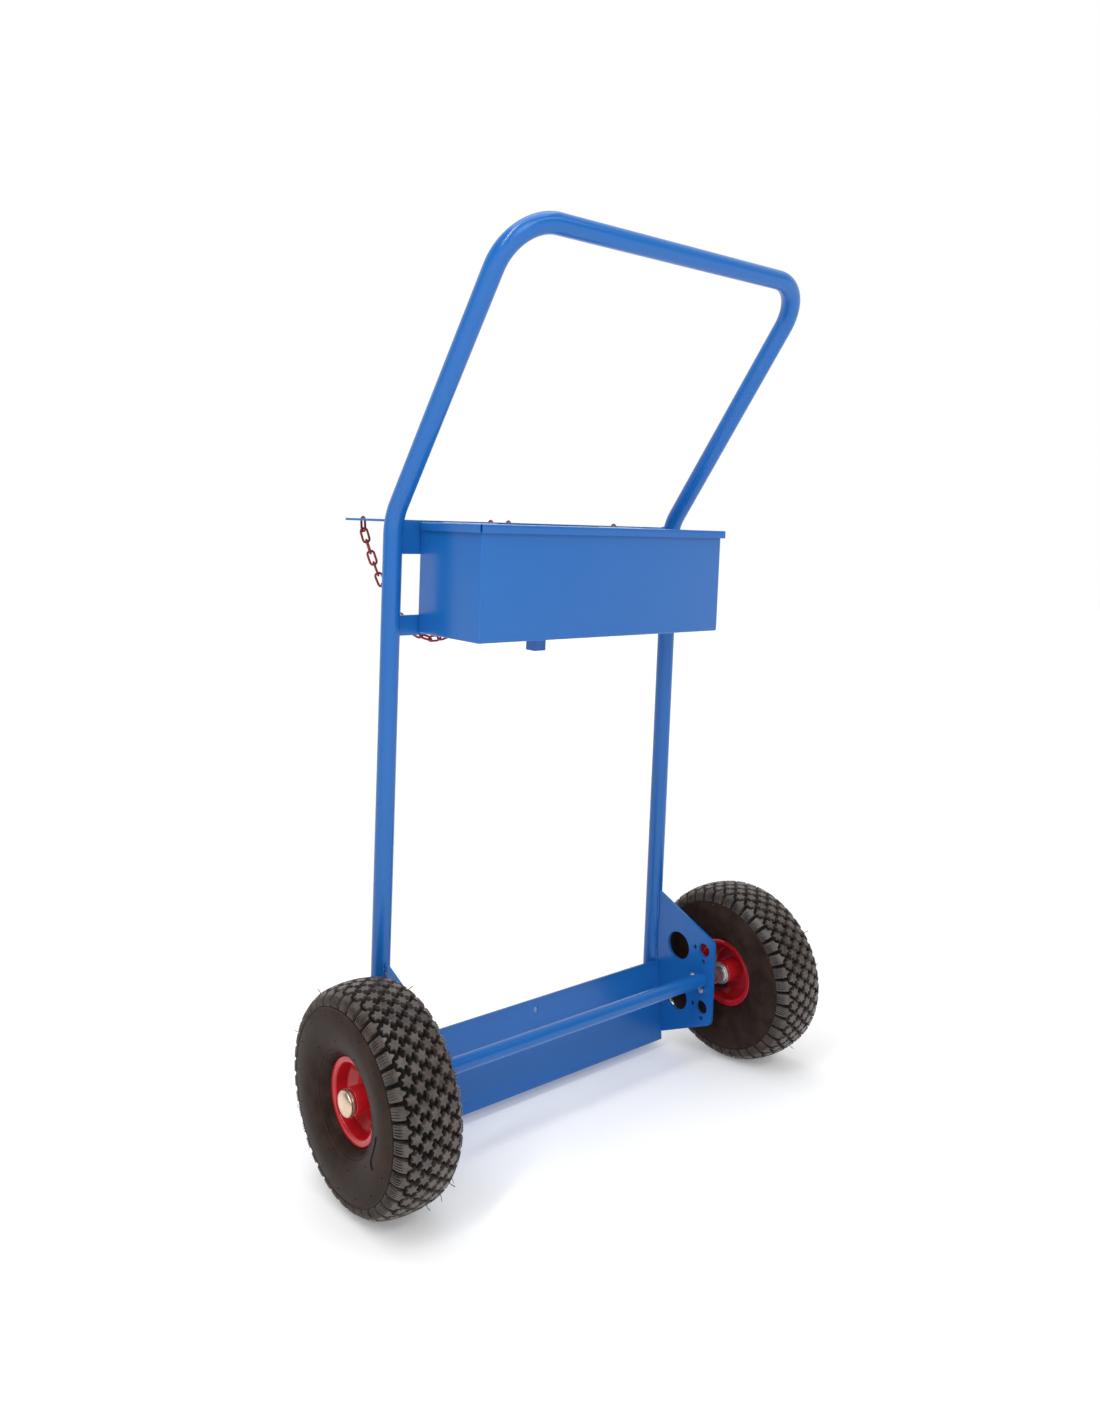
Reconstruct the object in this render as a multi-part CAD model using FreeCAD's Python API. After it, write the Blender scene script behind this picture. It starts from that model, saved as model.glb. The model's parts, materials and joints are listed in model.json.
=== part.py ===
import FreeCAD, Part
import math
import os

V = FreeCAD.Vector

# frame tube and handle
tube_d = 25.0
tube_wall = 2.0
upright_half = 257.5
frame_lean = 7.3
kink_height = 818.0
handle_lean = 41.0
handle_top = 1119.0
kink_bend_r = 70.0
corner_bend_r = 62.0

# base tray folded from one sheet
tray_sheet = 3.0
tray_depth = 238.0
tray_under = 13.5
panel_height = 125.0
panel_hole_d = 8.0
panel_hole_down = 15.0
fold_r = 4.0
notch_room = 3.0

# side plates
side_sheet = 5.0
plate_back = 124.0
plate_top_front = 252.0
plate_top_back = 206.0
plate_low_back = 80.0
plate_low_front = 23.0
plate_round_r = 11.0
big_hole_d = 42.0
big_hole_in = 56.0
big_hole_low = 99.0
big_hole_pitch = 80.0
small_hole_d = 6.5
small_hole_off = 17.0

# axle, spacers and caps
axle_d = 20.0
axle_back = 105.5
axle_up = 144.6
axle_hole_pitch = 44.0
spacer_d = 24.0
spacer_flange_d = 32.0
spacer_flange = 4.0
spacer_len = 33.4
ear_thick = 4.0
ear_round_r = 9.0
ear_bolt_d = 5.0
ear_bolt_af = 8.0
ear_bolt_head = 3.5
ear_nut = 4.0
washer_d = 30.0
washer_thick = 2.0
cap_d = 30.0
cap_rim = 4.0
cap_dome = 5.0

# wheels
wheel_d = 260.0
tyre_width = 94.0
bead_toe = 14.0
cavity_low = 8.0
wall_shares = [(0.66, 0.018), (0.81, 0.087), (0.936, 0.21), (1.0, 0.4), (1.0, 0.575), (0.955, 0.735)]
crown_shares = [(0.865, 0.86), (0.69, 0.948), (0.36, 0.987), (0, 1)]
sink_shares = [0.5, 1, 1, 1]
tread_count = 40
tread_columns = 5
tread_deep = 5.6
tread_root = 1.5
block_d = 13.8
column_step = 13.0
shoulder_w = 12.0
cavity_shares = [(0.34, 0.838), (0.596, 0.775), (0.766, 0.65), (0.84, 0.475), (0.82, 0.313)]
cavity_shares += [(0.70, 0.163), (0.51, 0.0625)]
cavity_top_share = 0.85
tube_fill_share = 0.997
tube_skin_share = 0.90
rim_half = 30.0
rim_flange_r = 50.0
rim_seat_r = 44.0
rim_sheet = 2.5
rim_step = 11.0
rim_web_r = 34.5
hub_d = 32.0
hub_half = 33.0
bush_d = 25.0
bush_len = 22.0
valve_r = 36.0
valve_turn = 32.0
valve_d = 7.0
valve_low = 3.0
valve_high = 27.0
valve_cap_d = 8.5
valve_cap = 9.0

# crossbars, retaining plate and post
bar_thick = 5.0
upper_bar_low = 779.5
plate_top = 823.0
plate_sheet = 3.0
plate_reach = 118.0
lower_bar_low = 675.0
lower_bar_high = 701.0
bottle_d = 229.0
bottle_room = 3.5
post_side = 20.0
post_wall = 2.0
post_low = 643.0
slot_w = 5.0
slot_deep = 20.0
slot_outer_x = 238.0
slot_inner_x = 17.0

# chains
link_wire_d = 3.2
link_inner = 16.4
link_pitch = 16.0
link_out_w = 12.4
link_poke = 3.6
chain_sag = 160.0
link_sides = 6
link_turns = 4

# tool box and lid
box_half = 217.5
box_back = 131.0
box_low = 677.6
box_rim = 819.7
box_sheet = 1.2
lid_top = 821.0
lid_over = 5.0
lid_lip = 10.0
screw_d = 6.0
screw_x = 150.0
screw_head_d = 11.0
screw_head = 3.0
nut_af = 10.0
nut_thick = 5.0
upper_screw_up = 795.0
lower_screw_up = 688.0

# lid hinges
pin_d = 4.0
knuckle_d = 7.0
pin_down = 3.0
knuckle_len = 18.0
hinge_x = 140.0
leaf = 1.5
fixed_leaf_reach = 16.0
lid_leaf_reach = 46.0

# clearances and helpers
seat = 0.05
run_gap = 0.05
side_play = 0.5
knuckle_play = 0.3
drop_play = 0.25
hang_play = 0.4
overrun = 20.0

# derived sizes
tube_r = tube_d / 2
lean = math.radians(frame_lean)
wheel_r = wheel_d / 2
axle_y = -axle_back * math.cos(lean) - axle_up * math.sin(lean)
axle_z = axle_up * math.cos(lean) - axle_back * math.sin(lean)
ground = axle_z - wheel_r
floor_low = ground + tray_under
floor_top = floor_low + tray_sheet
panel_top = floor_low + panel_height
panel_front = -(panel_top * math.tan(lean) + tube_r / math.cos(lean)) - seat
kink_up = kink_height / math.cos(lean)
leg_len = (handle_top - kink_height) / math.cos(math.radians(handle_lean))
leg_tilt = math.radians(handle_lean - frame_lean)
handle_rear = -kink_height * math.tan(lean) - leg_len * math.sin(math.radians(handle_lean)) - tube_r
tray_front = panel_front + tray_depth
shift = V(0, -(handle_rear + tray_front) / 2, -ground)
side_in = upright_half - side_sheet / 2
spacer_in = side_in + side_sheet + ear_thick + seat * 2
track_half = spacer_in + spacer_len + side_play + hub_half
wall_in = bar_thick / 2 + seat + box_sheet
pin_back = wall_in + drop_play + knuckle_d / 2
pin_up = lid_top - pin_down
lid_front = pin_back + knuckle_d / 2 + knuckle_play


def lay(shape):
    # turn a piece drawn square to the uprights into the standing frame
    shape.rotate(V(0, 0, 0), V(1, 0, 0), frame_lean)
    return shape


def save(name, shape):
    shape.translate(shift)
    shape.exportStep(os.path.join("parts", name + ".step"))


def box(x0, x1, y0, y1, z0, z1):
    return Part.makeBox(x1 - x0, y1 - y0, z1 - z0, V(x0, y0, z0))


def rod(r, start, end):
    way = end - start
    return Part.makeCylinder(r, way.Length, start, way)


def lathe(points, x_mid, turn=360):
    # turn a list of (x, r) points around the axle line
    pts = [V(x_mid + x, axle_y, axle_z + r) for x, r in points]
    face = Part.Face(Part.makePolygon(pts + [pts[0]]))
    return face.revolve(V(0, axle_y, axle_z), V(1, 0, 0), turn)


def hexagon(af, start, end):
    # six-sided bar along X between two points
    r = af / math.sqrt(3)
    turns = [math.radians(60 * i) for i in range(6)]
    pts = [start + V(0, r * math.cos(t), r * math.sin(t)) for t in turns]
    return Part.Face(Part.makePolygon(pts + [pts[0]])).extrude(end - start)


def mirror(shape):
    return shape.mirror(V(0, 0, 0), V(1, 0, 0))


def group(shapes):
    return Part.makeCompound(shapes)


def bend(p, before, after, r):
    # start, middle and end of the arc that rounds the corner p
    d1 = (before - p).normalize()
    d2 = (after - p).normalize()
    half = d1.getAngle(d2) / 2
    cut = r / math.tan(half)
    mid_dir = (d1 + d2).normalize()
    centre = p + mid_dir * (r / math.sin(half))
    return p + d1 * cut, centre - mid_dir * r, p + d2 * cut


def frame_path(low):
    foot_l = V(-upright_half, 0, low)
    kink_l = V(-upright_half, 0, kink_up)
    top = V(0, -leg_len * math.sin(leg_tilt), kink_up + leg_len * math.cos(leg_tilt))
    top_l = V(-upright_half, top.y, top.z)
    corners = [(kink_l, kink_bend_r), (top_l, corner_bend_r)]
    corners += [(V(upright_half, top.y, top.z), corner_bend_r), (V(upright_half, 0, kink_up), kink_bend_r)]
    nodes = [foot_l] + [c for c, r in corners] + [V(upright_half, 0, low)]
    edges = []
    last = foot_l
    for i, (c, r) in enumerate(corners):
        a, m, b = bend(c, nodes[i], nodes[i + 2], r)
        edges.append(Part.LineSegment(last, a).toShape())
        edges.append(Part.Arc(a, m, b).toShape())
        last = b
    edges.append(Part.LineSegment(last, nodes[-1]).toShape())
    return Part.Wire(edges)


def sweep(path, r, start):
    ring = Part.Wire(Part.makeCircle(r, start, V(0, 0, 1)))
    return path.makePipeShell([ring], True, False)


def handle_frame():
    low = -overrun
    path = frame_path(low)
    start = V(-upright_half, 0, low)
    outer = sweep(path, tube_r, start)
    inner = sweep(path, tube_r - tube_wall, start)
    tube = lay(outer.cut(inner))
    reach = upright_half + tube_d
    under = box(-reach, reach, -reach, reach, floor_low - reach, floor_low)
    return tube.cut(under)


def foot_notch(side):
    # room for the foot of one upright in the tray floor, open behind for the lean of the tube
    low, high = floor_low - overrun, floor_top + overrun / 2
    r = tube_r + seat
    x = side * upright_half
    tube = lay(rod(r, V(x, 0, -overrun * 3), V(x, 0, panel_height)))
    mid = -floor_top * math.tan(lean)
    band = box(x - r, x + r, mid - r / math.cos(lean) - notch_room, mid + r * 2, low, high)
    behind = box(x - r, x + r, mid - r / math.cos(lean) - notch_room, mid, low, high)
    return tube.common(band).fuse(behind)


def base_tray():
    half = side_in - seat
    back = panel_front - tray_sheet
    foot = tray_front - tray_sheet
    outer = [(back, floor_low), (foot, floor_low), (foot, ground), (tray_front, ground)]
    outer += [(tray_front, floor_top), (panel_front, floor_top), (panel_front, panel_top), (back, panel_top)]
    pts = [V(-half, y, z) for y, z in outer]
    face = Part.Face(Part.makePolygon(pts + [pts[0]]))
    tray = face.extrude(V(half * 2, 0, 0))
    folds = []
    for e in tray.Edges:
        c = e.CenterOfMass
        at_back = abs(c.y - back) < seat and abs(c.z - floor_low) < seat
        at_front = abs(c.y - tray_front) < seat and abs(c.z - floor_top) < seat
        if at_back or at_front:
            folds.append(e)
    tray = tray.makeFillet(fold_r, folds)
    z = panel_top - panel_hole_down
    hole = rod(panel_hole_d / 2, V(0, back - overrun, z), V(0, panel_front + overrun, z))
    return tray.cut(hole).cut(foot_notch(-1)).cut(foot_notch(1))


def side_plate():
    front = tube_r + seat
    x0 = side_in
    pts = [(-front, plate_top_front), (-plate_back, plate_top_back)]
    pts += [(-plate_back, plate_low_back), (-front, plate_low_front)]
    wire = [V(x0, y, z) for y, z in pts]
    plate = Part.Face(Part.makePolygon(wire + [wire[0]])).extrude(V(side_sheet, 0, 0))
    rounds = []
    for e in plate.Edges:
        if abs(e.CenterOfMass.y + plate_back) < seat and e.Length < side_sheet + seat:
            rounds.append(e)
    plate = plate.makeFillet(plate_round_r, rounds)
    cuts = []
    for i in range(2):
        cuts.append((-big_hole_in, big_hole_low + i * big_hole_pitch, big_hole_d))
    for i in (-1, 0, 1):
        up = axle_up + i * axle_hole_pitch
        cuts.append((-axle_back, up, axle_d + seat * 2))
        cuts.append((small_hole_off - axle_back, up, small_hole_d))
        cuts.append((-axle_back, up - small_hole_off, small_hole_d))
    for y, z, d in cuts:
        plate = plate.cut(rod(d / 2, V(x0 - overrun, y, z), V(x0 + side_sheet + overrun, y, z)))
    return lay(plate)


def axle():
    end = track_half + hub_half + side_play + washer_thick + cap_rim
    return lathe([(-end, 0), (-end, axle_d / 2), (end, axle_d / 2), (end, 0)], 0)


def spacer():
    x0 = spacer_in
    x1 = x0 + spacer_len
    r0 = axle_d / 2 + run_gap
    step = x1 - spacer_flange
    pts = [(x0, r0), (x1, r0), (x1, spacer_flange_d / 2), (step, spacer_flange_d / 2)]
    return lathe(pts + [(step, spacer_d / 2), (x0, spacer_d / 2)], 0)


def ear_spots():
    return [(small_hole_off - axle_back, axle_up), (-axle_back, axle_up - small_hole_off)]


def axle_ear():
    # three-cornered plate on the axle, bolted to the side plate at the two small holes
    x0 = side_in + side_sheet + seat
    x1 = x0 + ear_thick
    spots = [(-axle_back, axle_up)] + ear_spots()
    (ay, az), (by, bz), (cy, cz) = spots
    web = Part.Face(Part.makePolygon([V(x0, y, z) for y, z in spots + spots[:1]])).extrude(V(ear_thick, 0, 0))
    plate = web
    for y, z in spots:
        r = spacer_d / 2 if (y, z) == (ay, az) else ear_round_r
        plate = plate.fuse(rod(r, V(x0, y, z), V(x1, y, z)))
    edge = V(0, cy - by, cz - bz).normalize()
    out = V(0, -edge.z, edge.y)
    if out.y * (ay - by) + out.z * (az - bz) > 0:
        out = out * -1
    b, c = V(x0, by, bz), V(x0, cy, cz)
    strip = [b, c, c + out * ear_round_r, b + out * ear_round_r]
    plate = plate.fuse(Part.Face(Part.makePolygon(strip + strip[:1])).extrude(V(ear_thick, 0, 0)))
    plate = plate.removeSplitter()
    holes = [(ay, az, axle_d)] + [(y, z, ear_bolt_d) for y, z in ear_spots()]
    for y, z, d in holes:
        plate = plate.cut(rod(d / 2 + seat, V(x0 - overrun, y, z), V(x1 + overrun, y, z)))
    return lay(plate)


def ear_bolts():
    made = []
    out = spacer_in
    tip = side_in - seat - ear_nut - ear_bolt_d / 4
    for y, z in ear_spots():
        head = hexagon(ear_bolt_af, V(out, y, z), V(out + ear_bolt_head, y, z))
        bolt = head.fuse(rod(ear_bolt_d / 2, V(tip, y, z), V(out + seat, y, z)))
        made.append(lay(bolt.removeSplitter()))
    return group(made)


def ear_nuts():
    made = []
    face = side_in - seat
    for y, z in ear_spots():
        nut = hexagon(ear_bolt_af, V(face - ear_nut, y, z), V(face, y, z))
        bore = rod(ear_bolt_d / 2 + seat, V(face - overrun, y, z), V(face + overrun, y, z))
        made.append(lay(nut.cut(bore)))
    return group(made)


def axle_washer():
    x0 = track_half + hub_half + side_play
    r0 = axle_d / 2 + run_gap
    x1 = x0 + washer_thick
    return lathe([(x0, r0), (x1, r0), (x1, washer_d / 2), (x0, washer_d / 2)], 0)


def axle_cap():
    x0 = track_half + hub_half + side_play + washer_thick + seat
    x1 = x0 + cap_rim
    r0 = axle_d / 2 + seat
    top = x1 + cap_dome
    pts = [(x0, r0), (x1, r0), (x1, 0), (top, 0)]
    pts += [(top - cap_dome * i * i / 16, cap_d / 2 * i / 4) for i in range(1, 4)]
    pts += [(x1, cap_d / 2), (x0, cap_d / 2)]
    return lathe(pts, 0)


def section(shares):
    height = wheel_d / 2 - rim_flange_r
    return [(tyre_width / 2 * w, rim_flange_r + height * h) for w, h in shares]


def both(points):
    return points + [(-x, r) for x, r in reversed(points)]


def casing():
    # the carcass: plain side walls, and under the tread a crown sunk by the depth of the grooves
    seat_r = rim_seat_r + seat
    heel = rim_half - rim_sheet - seat
    outer = [(bead_toe, seat_r), (heel, seat_r), (heel, rim_flange_r + seat)] + section(wall_shares)
    outer += [(x, r - tread_deep * s) for (x, r), s in zip(section(crown_shares), sink_shares)]
    cavity = [(bead_toe, seat_r + cavity_low)] + section(cavity_shares)[::-1]
    top = section([(0, cavity_top_share)])
    ring = outer + [(-x, r) for x, r in reversed(outer[:-1])]
    ring += [(-x, r) for x, r in cavity] + top + cavity[::-1]
    return lathe(ring, track_half)


def tread_block(column):
    # a six-sided block that stands square on the crown line, its root sunk into the carcass
    x = abs(column) * column_step
    line = section(crown_shares)
    (x1, r1), (x0, r0) = [run for run in zip(line, line[1:]) if run[1][0] <= x][0]
    slope = math.atan2(r0 - r1, x1 - x0) if column else 0
    top = V(track_half + x, axle_y, axle_z + r0 - (x - x0) * math.tan(slope))
    low = top - V(math.sin(slope), 0, math.cos(slope)) * (tread_deep + tread_root)
    across = V(math.cos(slope), 0, -math.sin(slope))
    turns = [math.radians(60 * i) for i in range(6)]
    pts = [low + (V(0, 1, 0) * math.cos(a) + across * math.sin(a)) * (block_d / 2) for a in turns]
    piece = Part.Face(Part.makePolygon(pts + [pts[0]])).extrude(top - low)
    return piece if column >= 0 else piece.mirror(V(track_half, 0, 0), V(1, 0, 0))


def shoulder_block(side):
    # a longer block that follows the outer line from the side wall over the shoulder
    line = section(wall_shares[-1:] + crown_shares[:2])
    low = [(x - tread_deep, r - tread_deep - tread_root) for x, r in reversed(line)]
    half = math.degrees(shoulder_w / 2 / wheel_r)
    piece = lathe([(x * side, r) for x, r in line + low], track_half, 2 * half)
    piece.rotate(V(0, axle_y, axle_z), V(1, 0, 0), -half)
    return piece


def around(piece, start):
    # copies of a tread block all round the wheel
    made = []
    for i in range(tread_count):
        copy = piece.copy()
        copy.rotate(V(0, axle_y, axle_z), V(1, 0, 0), start + 360 * i / tread_count)
        made.append(copy)
    return made


def tyre():
    # every other column is turned by half a pitch, and the shoulders stand in the gaps of the outer columns
    half_pitch = 180 / tread_count
    last = tread_columns // 2
    blocks = []
    for column in range(-last, last + 1):
        blocks += around(tread_block(column), half_pitch * (column % 2))
    for side in (-1, 1):
        blocks += around(shoulder_block(side), half_pitch * ((last + 1) % 2))
    return casing().multiFuse(blocks)


def inner_tube():
    shell = both([(bead_toe, rim_seat_r + seat + cavity_low)] + section(cavity_shares)[::-1])
    half = len(shell) // 2
    shell = shell[:half] + section([(0, cavity_top_share)]) + shell[half:]
    mid = sum(r for x, r in shell) / len(shell)
    fill = [[(x * s, mid + (r - mid) * s) for x, r in shell] for s in (tube_fill_share, tube_skin_share)]
    return lathe(fill[0], track_half).cut(lathe(fill[1], track_half))


def valve_spot(x):
    a = math.radians(valve_turn)
    return V(x, axle_y + valve_r * math.sin(a), axle_z - valve_r * math.cos(a))


def rim(side):
    hub_r = hub_d / 2 + seat
    lip = rim_half - rim_sheet
    pts = [(seat, hub_r), (rim_sheet, hub_r), (rim_sheet, rim_web_r - rim_sheet / 2)]
    pts += [(rim_step + rim_sheet / 2, rim_seat_r - rim_sheet), (lip, rim_seat_r - rim_sheet)]
    pts += [(rim_half, rim_seat_r), (rim_half, rim_flange_r), (lip, rim_flange_r), (lip, rim_seat_r)]
    pts += [(rim_step, rim_seat_r), (seat, rim_web_r)]
    disc = lathe([(x * side, r) for x, r in pts], track_half)
    if side < 0:
        start = valve_spot(track_half - rim_half - overrun)
        disc = disc.cut(rod(valve_d / 2 + seat, start, valve_spot(track_half)))
    return disc


def hub_tube():
    r0 = bush_d / 2 + seat
    return lathe([(-hub_half, r0), (hub_half, r0), (hub_half, hub_d / 2), (-hub_half, hub_d / 2)], track_half)


def hub_bushes():
    r0 = axle_d / 2 + run_gap
    r1 = bush_d / 2
    ends = [(hub_half - bush_len, hub_half), (-hub_half, bush_len - hub_half)]
    return group([lathe([(a, r0), (b, r0), (b, r1), (a, r1)], track_half) for a, b in ends])


def valve_stem():
    tip = valve_spot(track_half - valve_high)
    stem = rod(valve_d / 2, valve_spot(track_half - valve_low), tip)
    return stem.fuse(rod(valve_cap_d / 2, tip, tip - V(valve_cap, 0, 0))).removeSplitter()


def end_x():
    return upright_half - tube_r - seat


def screw_spots():
    return [(x, u) for u in (lower_screw_up, upper_screw_up) for x in (-screw_x, screw_x)]


def drill(shape, spots, d):
    for x, u in spots:
        shape = shape.cut(rod(d / 2, V(x, -overrun, u), V(x, overrun, u)))
    return shape


def slot_spots():
    return [-slot_outer_x, -slot_inner_x, slot_inner_x, slot_outer_x]


def retaining_plate():
    half = bar_thick / 2
    x1 = end_x()
    flange = box(-x1, x1, -half, half, upper_bar_low, plate_top)
    low = plate_top - plate_sheet
    front = tube_r + seat
    plate = box(-x1, x1, half, front, low, plate_top)
    plate = plate.fuse(box(-upright_half, upright_half, front, plate_reach, low, plate_top))
    # the two cradles are upright cylinders, so they are cut after the plate is laid back
    whole = drill(flange.fuse(plate).removeSplitter(), [(x, upper_screw_up) for x in (-screw_x, screw_x)],
                  screw_d + seat * 2)
    end = plate_reach - slot_deep + slot_w / 2
    for x in slot_spots():
        half_w = slot_w / 2
        under, over = low - overrun, plate_top + overrun
        cut = box(x - half_w, x + half_w, end, plate_reach + overrun, under, over)
        ring = rod(half_w, V(x, end, under), V(x, end, over))
        whole = whole.cut(cut.fuse(ring))
    whole = lay(whole)
    r = bottle_d / 2 + bottle_room
    for side in (-1, 1):
        mid = V(side * (post_side / 2 + r), panel_front + r, kink_height / 2)
        whole = whole.cut(rod(r, mid, mid + V(0, 0, kink_height)))
    return whole


def lower_crossbar():
    half = bar_thick / 2
    bar = box(-end_x(), end_x(), -half, half, lower_bar_low, lower_bar_high)
    return lay(drill(bar, [(x, lower_screw_up) for x in (-screw_x, screw_x)], screw_d + seat * 2))


def centre_post():
    half = post_side / 2
    back = bar_thick / 2 + seat
    top = plate_top - plate_sheet - seat
    bore = half - post_wall
    outer = box(-half, half, back, back + post_side, post_low, top)
    front = back + post_side - post_wall
    inner = box(-bore, bore, back + post_wall, front, post_low - overrun, top + overrun)
    return lay(outer.cut(inner))


def tool_box():
    # five sheet panels: the ends stand between front and back, and the floor lies between the ends
    front = -bar_thick / 2 - seat
    s = box_sheet
    wall = box(-box_half, box_half, front - s, front, box_low, box_rim)
    wall = drill(wall, screw_spots(), screw_d + seat * 2)
    panels = [wall, box(-box_half, box_half, -box_back, s - box_back, box_low, box_rim)]
    y0, y1 = s - box_back + seat, front - s - seat
    panels.append(box(-box_half, s - box_half, y0, y1, box_low, box_rim))
    panels.append(box(box_half - s, box_half, y0, y1, box_low, box_rim))
    inner = box_half - s - seat
    panels.append(box(-inner, inner, y0, y1, box_low, box_low + s))
    return group([lay(p) for p in panels])


def box_screws():
    made = []
    wall = -bar_thick / 2 - seat * 2 - box_sheet
    tip = bar_thick / 2 + seat + nut_thick
    for x, u in screw_spots():
        head = rod(screw_head_d / 2, V(x, wall - screw_head, u), V(x, wall, u))
        made.append(lay(head.fuse(rod(screw_d / 2, V(x, wall - seat, u), V(x, tip, u))).removeSplitter()))
    return group(made)


def box_nuts():
    made = []
    back = bar_thick / 2 + seat
    r = nut_af / math.sqrt(3)
    turns = [math.radians(60 * i) for i in range(6)]
    for x, u in screw_spots():
        pts = [V(x + r * math.cos(t), back, u + r * math.sin(t)) for t in turns]
        nut = Part.Face(Part.makePolygon(pts + [pts[0]])).extrude(V(0, nut_thick, 0))
        made.append(lay(nut.cut(rod(screw_d / 2 + seat, V(x, -overrun, u), V(x, overrun, u)))))
    return group(made)


def knuckle_row(x_mid, first):
    # places of every other knuckle along one hinge
    step = knuckle_len + knuckle_play
    start = x_mid - step * 5 / 2
    return [(start + step * i, start + step * i + knuckle_len) for i in range(first, 5, 2)]


def knuckles(shape, x_mid, first):
    spans = knuckle_row(x_mid, first)
    for a, b in spans:
        shape = shape.fuse(rod(knuckle_d / 2, V(a, -pin_back, pin_up), V(b, -pin_back, pin_up)))
    shape = shape.removeSplitter()
    return shape.cut(rod(pin_d / 2 + run_gap, V(x_mid - overrun * 4, -pin_back, pin_up),
                         V(x_mid + overrun * 4, -pin_back, pin_up)))


def hinge_span(x_mid):
    step = knuckle_len + knuckle_play
    return x_mid - step * 5 / 2, x_mid + step * 5 / 2 - knuckle_play


def fixed_leaves():
    # upright leaf on the inner face of the box wall, under the line of the knuckles
    made = []
    y1 = -wall_in - seat
    for x in (-hinge_x, hinge_x):
        a, b = hinge_span(x)
        plate = box(a, b, y1 - leaf, y1, pin_up - fixed_leaf_reach, pin_up - knuckle_d / 2 - knuckle_play)
        for s, e in knuckle_row(x, 0):
            plate = plate.fuse(box(s, e, y1 - leaf, y1, pin_up - fixed_leaf_reach, pin_up))
        made.append(lay(knuckles(plate, x, 0)))
    return group(made)


def lid_leaves():
    # flat leaf under the lid sheet
    made = []
    high = lid_top - box_sheet - seat
    for x in (-hinge_x, hinge_x):
        a, b = hinge_span(x)
        plate = box(a, b, -lid_leaf_reach, -lid_front, high - leaf, high)
        for s, e in knuckle_row(x, 1):
            plate = plate.fuse(box(s, e, -lid_front, -pin_back, high - leaf, high))
        made.append(lay(knuckles(plate, x, 1)))
    return group(made)


def hinge_pins():
    made = []
    for x in (-hinge_x, hinge_x):
        a, b = hinge_span(x)
        made.append(lay(rod(pin_d / 2, V(a, -pin_back, pin_up), V(b, -pin_back, pin_up))))
    return group(made)


def lid():
    half = box_half + lid_over
    back = -box_back - lid_over
    t = box_sheet
    outer = box(-half, half, back, -lid_front, lid_top - lid_lip, lid_top)
    inner = box(t - half, half - t, back + t, overrun, lid_top - lid_lip - overrun, lid_top - t)
    return lay(outer.cut(inner))


def link(centre, along, flat):
    # one closed link of faceted wire: along is its length, flat the normal of its plane
    along = along.normalize()
    flat = (flat - along * flat.dot(along)).normalize()
    wide = flat.cross(along)
    r = link_wire_d / 2
    bend_r = link_out_w / 2 - r
    half = link_inner / 2 + r - bend_r
    stations = []
    for end in (1, -1):
        for i in range(link_turns + 1):
            t = math.pi * i / link_turns
            at = centre + along * (end * (half + bend_r * math.sin(t))) + wide * (end * bend_r * math.cos(t))
            stations.append((at, (along * math.sin(t) + wide * math.cos(t)) * end))
    rings = []
    grow = 1 / math.cos(math.pi / link_turns / 2)
    for k, (at, out) in enumerate(stations):
        stretch = grow if k % (link_turns + 1) not in (0, link_turns) else 1
        turns = [math.pi * 2 * (j + 1 / 2) / link_sides for j in range(link_sides)]
        rings.append([at + out * (r * math.cos(t) * stretch) + flat * (r * math.sin(t)) for t in turns])
    faces = []
    count = len(rings)
    for k in range(count):
        a, b = rings[k], rings[(k + 1) % count]
        for j in range(link_sides):
            m = (j + 1) % link_sides
            faces.append(Part.Face(Part.makePolygon([a[j], a[m], b[m], a[j]])))
            faces.append(Part.Face(Part.makePolygon([a[j], b[m], b[j], a[j]])))
    solid = Part.Solid(Part.Shell(faces))
    if solid.Volume < 0:
        solid.reverse()
    return solid


def slot_middle():
    # world place of the middle of a slot on the top of the plate, for x = 0
    v = plate_reach - slot_deep + link_out_w / 2 + drop_play
    c, s = math.cos(lean), math.sin(lean)
    return V(0, v * c - plate_top * s, v * s + plate_top * c)


def slot_link_z():
    # the end link is welded into the slot with its bow standing a little over the plate
    return slot_middle().z + link_poke - link_wire_d - link_inner / 2


def end_links():
    y = slot_middle().y
    return group([link(V(x, y, slot_link_z()), V(0, 0, 1), V(1, 0, 0)) for x in slot_spots()])


def hang_points():
    # meeting points of the hanging links on a catenary between two slots
    span = slot_outer_x - slot_inner_x
    low, high = span / 40, span * 4
    for i in range(60):
        c = (low + high) / 2
        if c * (math.cosh(span / 2 / c) - 1) > chain_sag:
            low = c
        else:
            high = c
    count = round(2 * c * math.sinh(span / 2 / c) / link_pitch)
    count -= 1 - count % 2
    low, high = span / 40, span * 4
    for i in range(60):
        c = (low + high) / 2
        if 2 * c * math.sinh(span / 2 / c) > count * link_pitch:
            low = c
        else:
            high = c
    arc = [(i - count / 2) * link_pitch for i in range(count + 1)]
    top = c * math.cosh(span / 2 / c)
    return [(c * math.asinh(s / c), c * math.cosh(math.asinh(s / c)) - top) for s in arc]


def chain(x_mid):
    y = slot_middle().y
    z0 = slot_link_z() - link_inner / 2 + (link_inner - link_pitch) / 2 + hang_play
    spots = [V(x_mid + a, y, z0 + b) for a, b in hang_points()]
    made = []
    for i in range(len(spots) - 1):
        along = spots[i + 1] - spots[i]
        mid = (spots[i] + spots[i + 1]) / 2
        side = V(0, 1, 0) if i % 2 == 0 else along.cross(V(0, 1, 0))
        made.append(link(mid, along, side))
    return group(made)


os.makedirs("parts", exist_ok=True)

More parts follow.
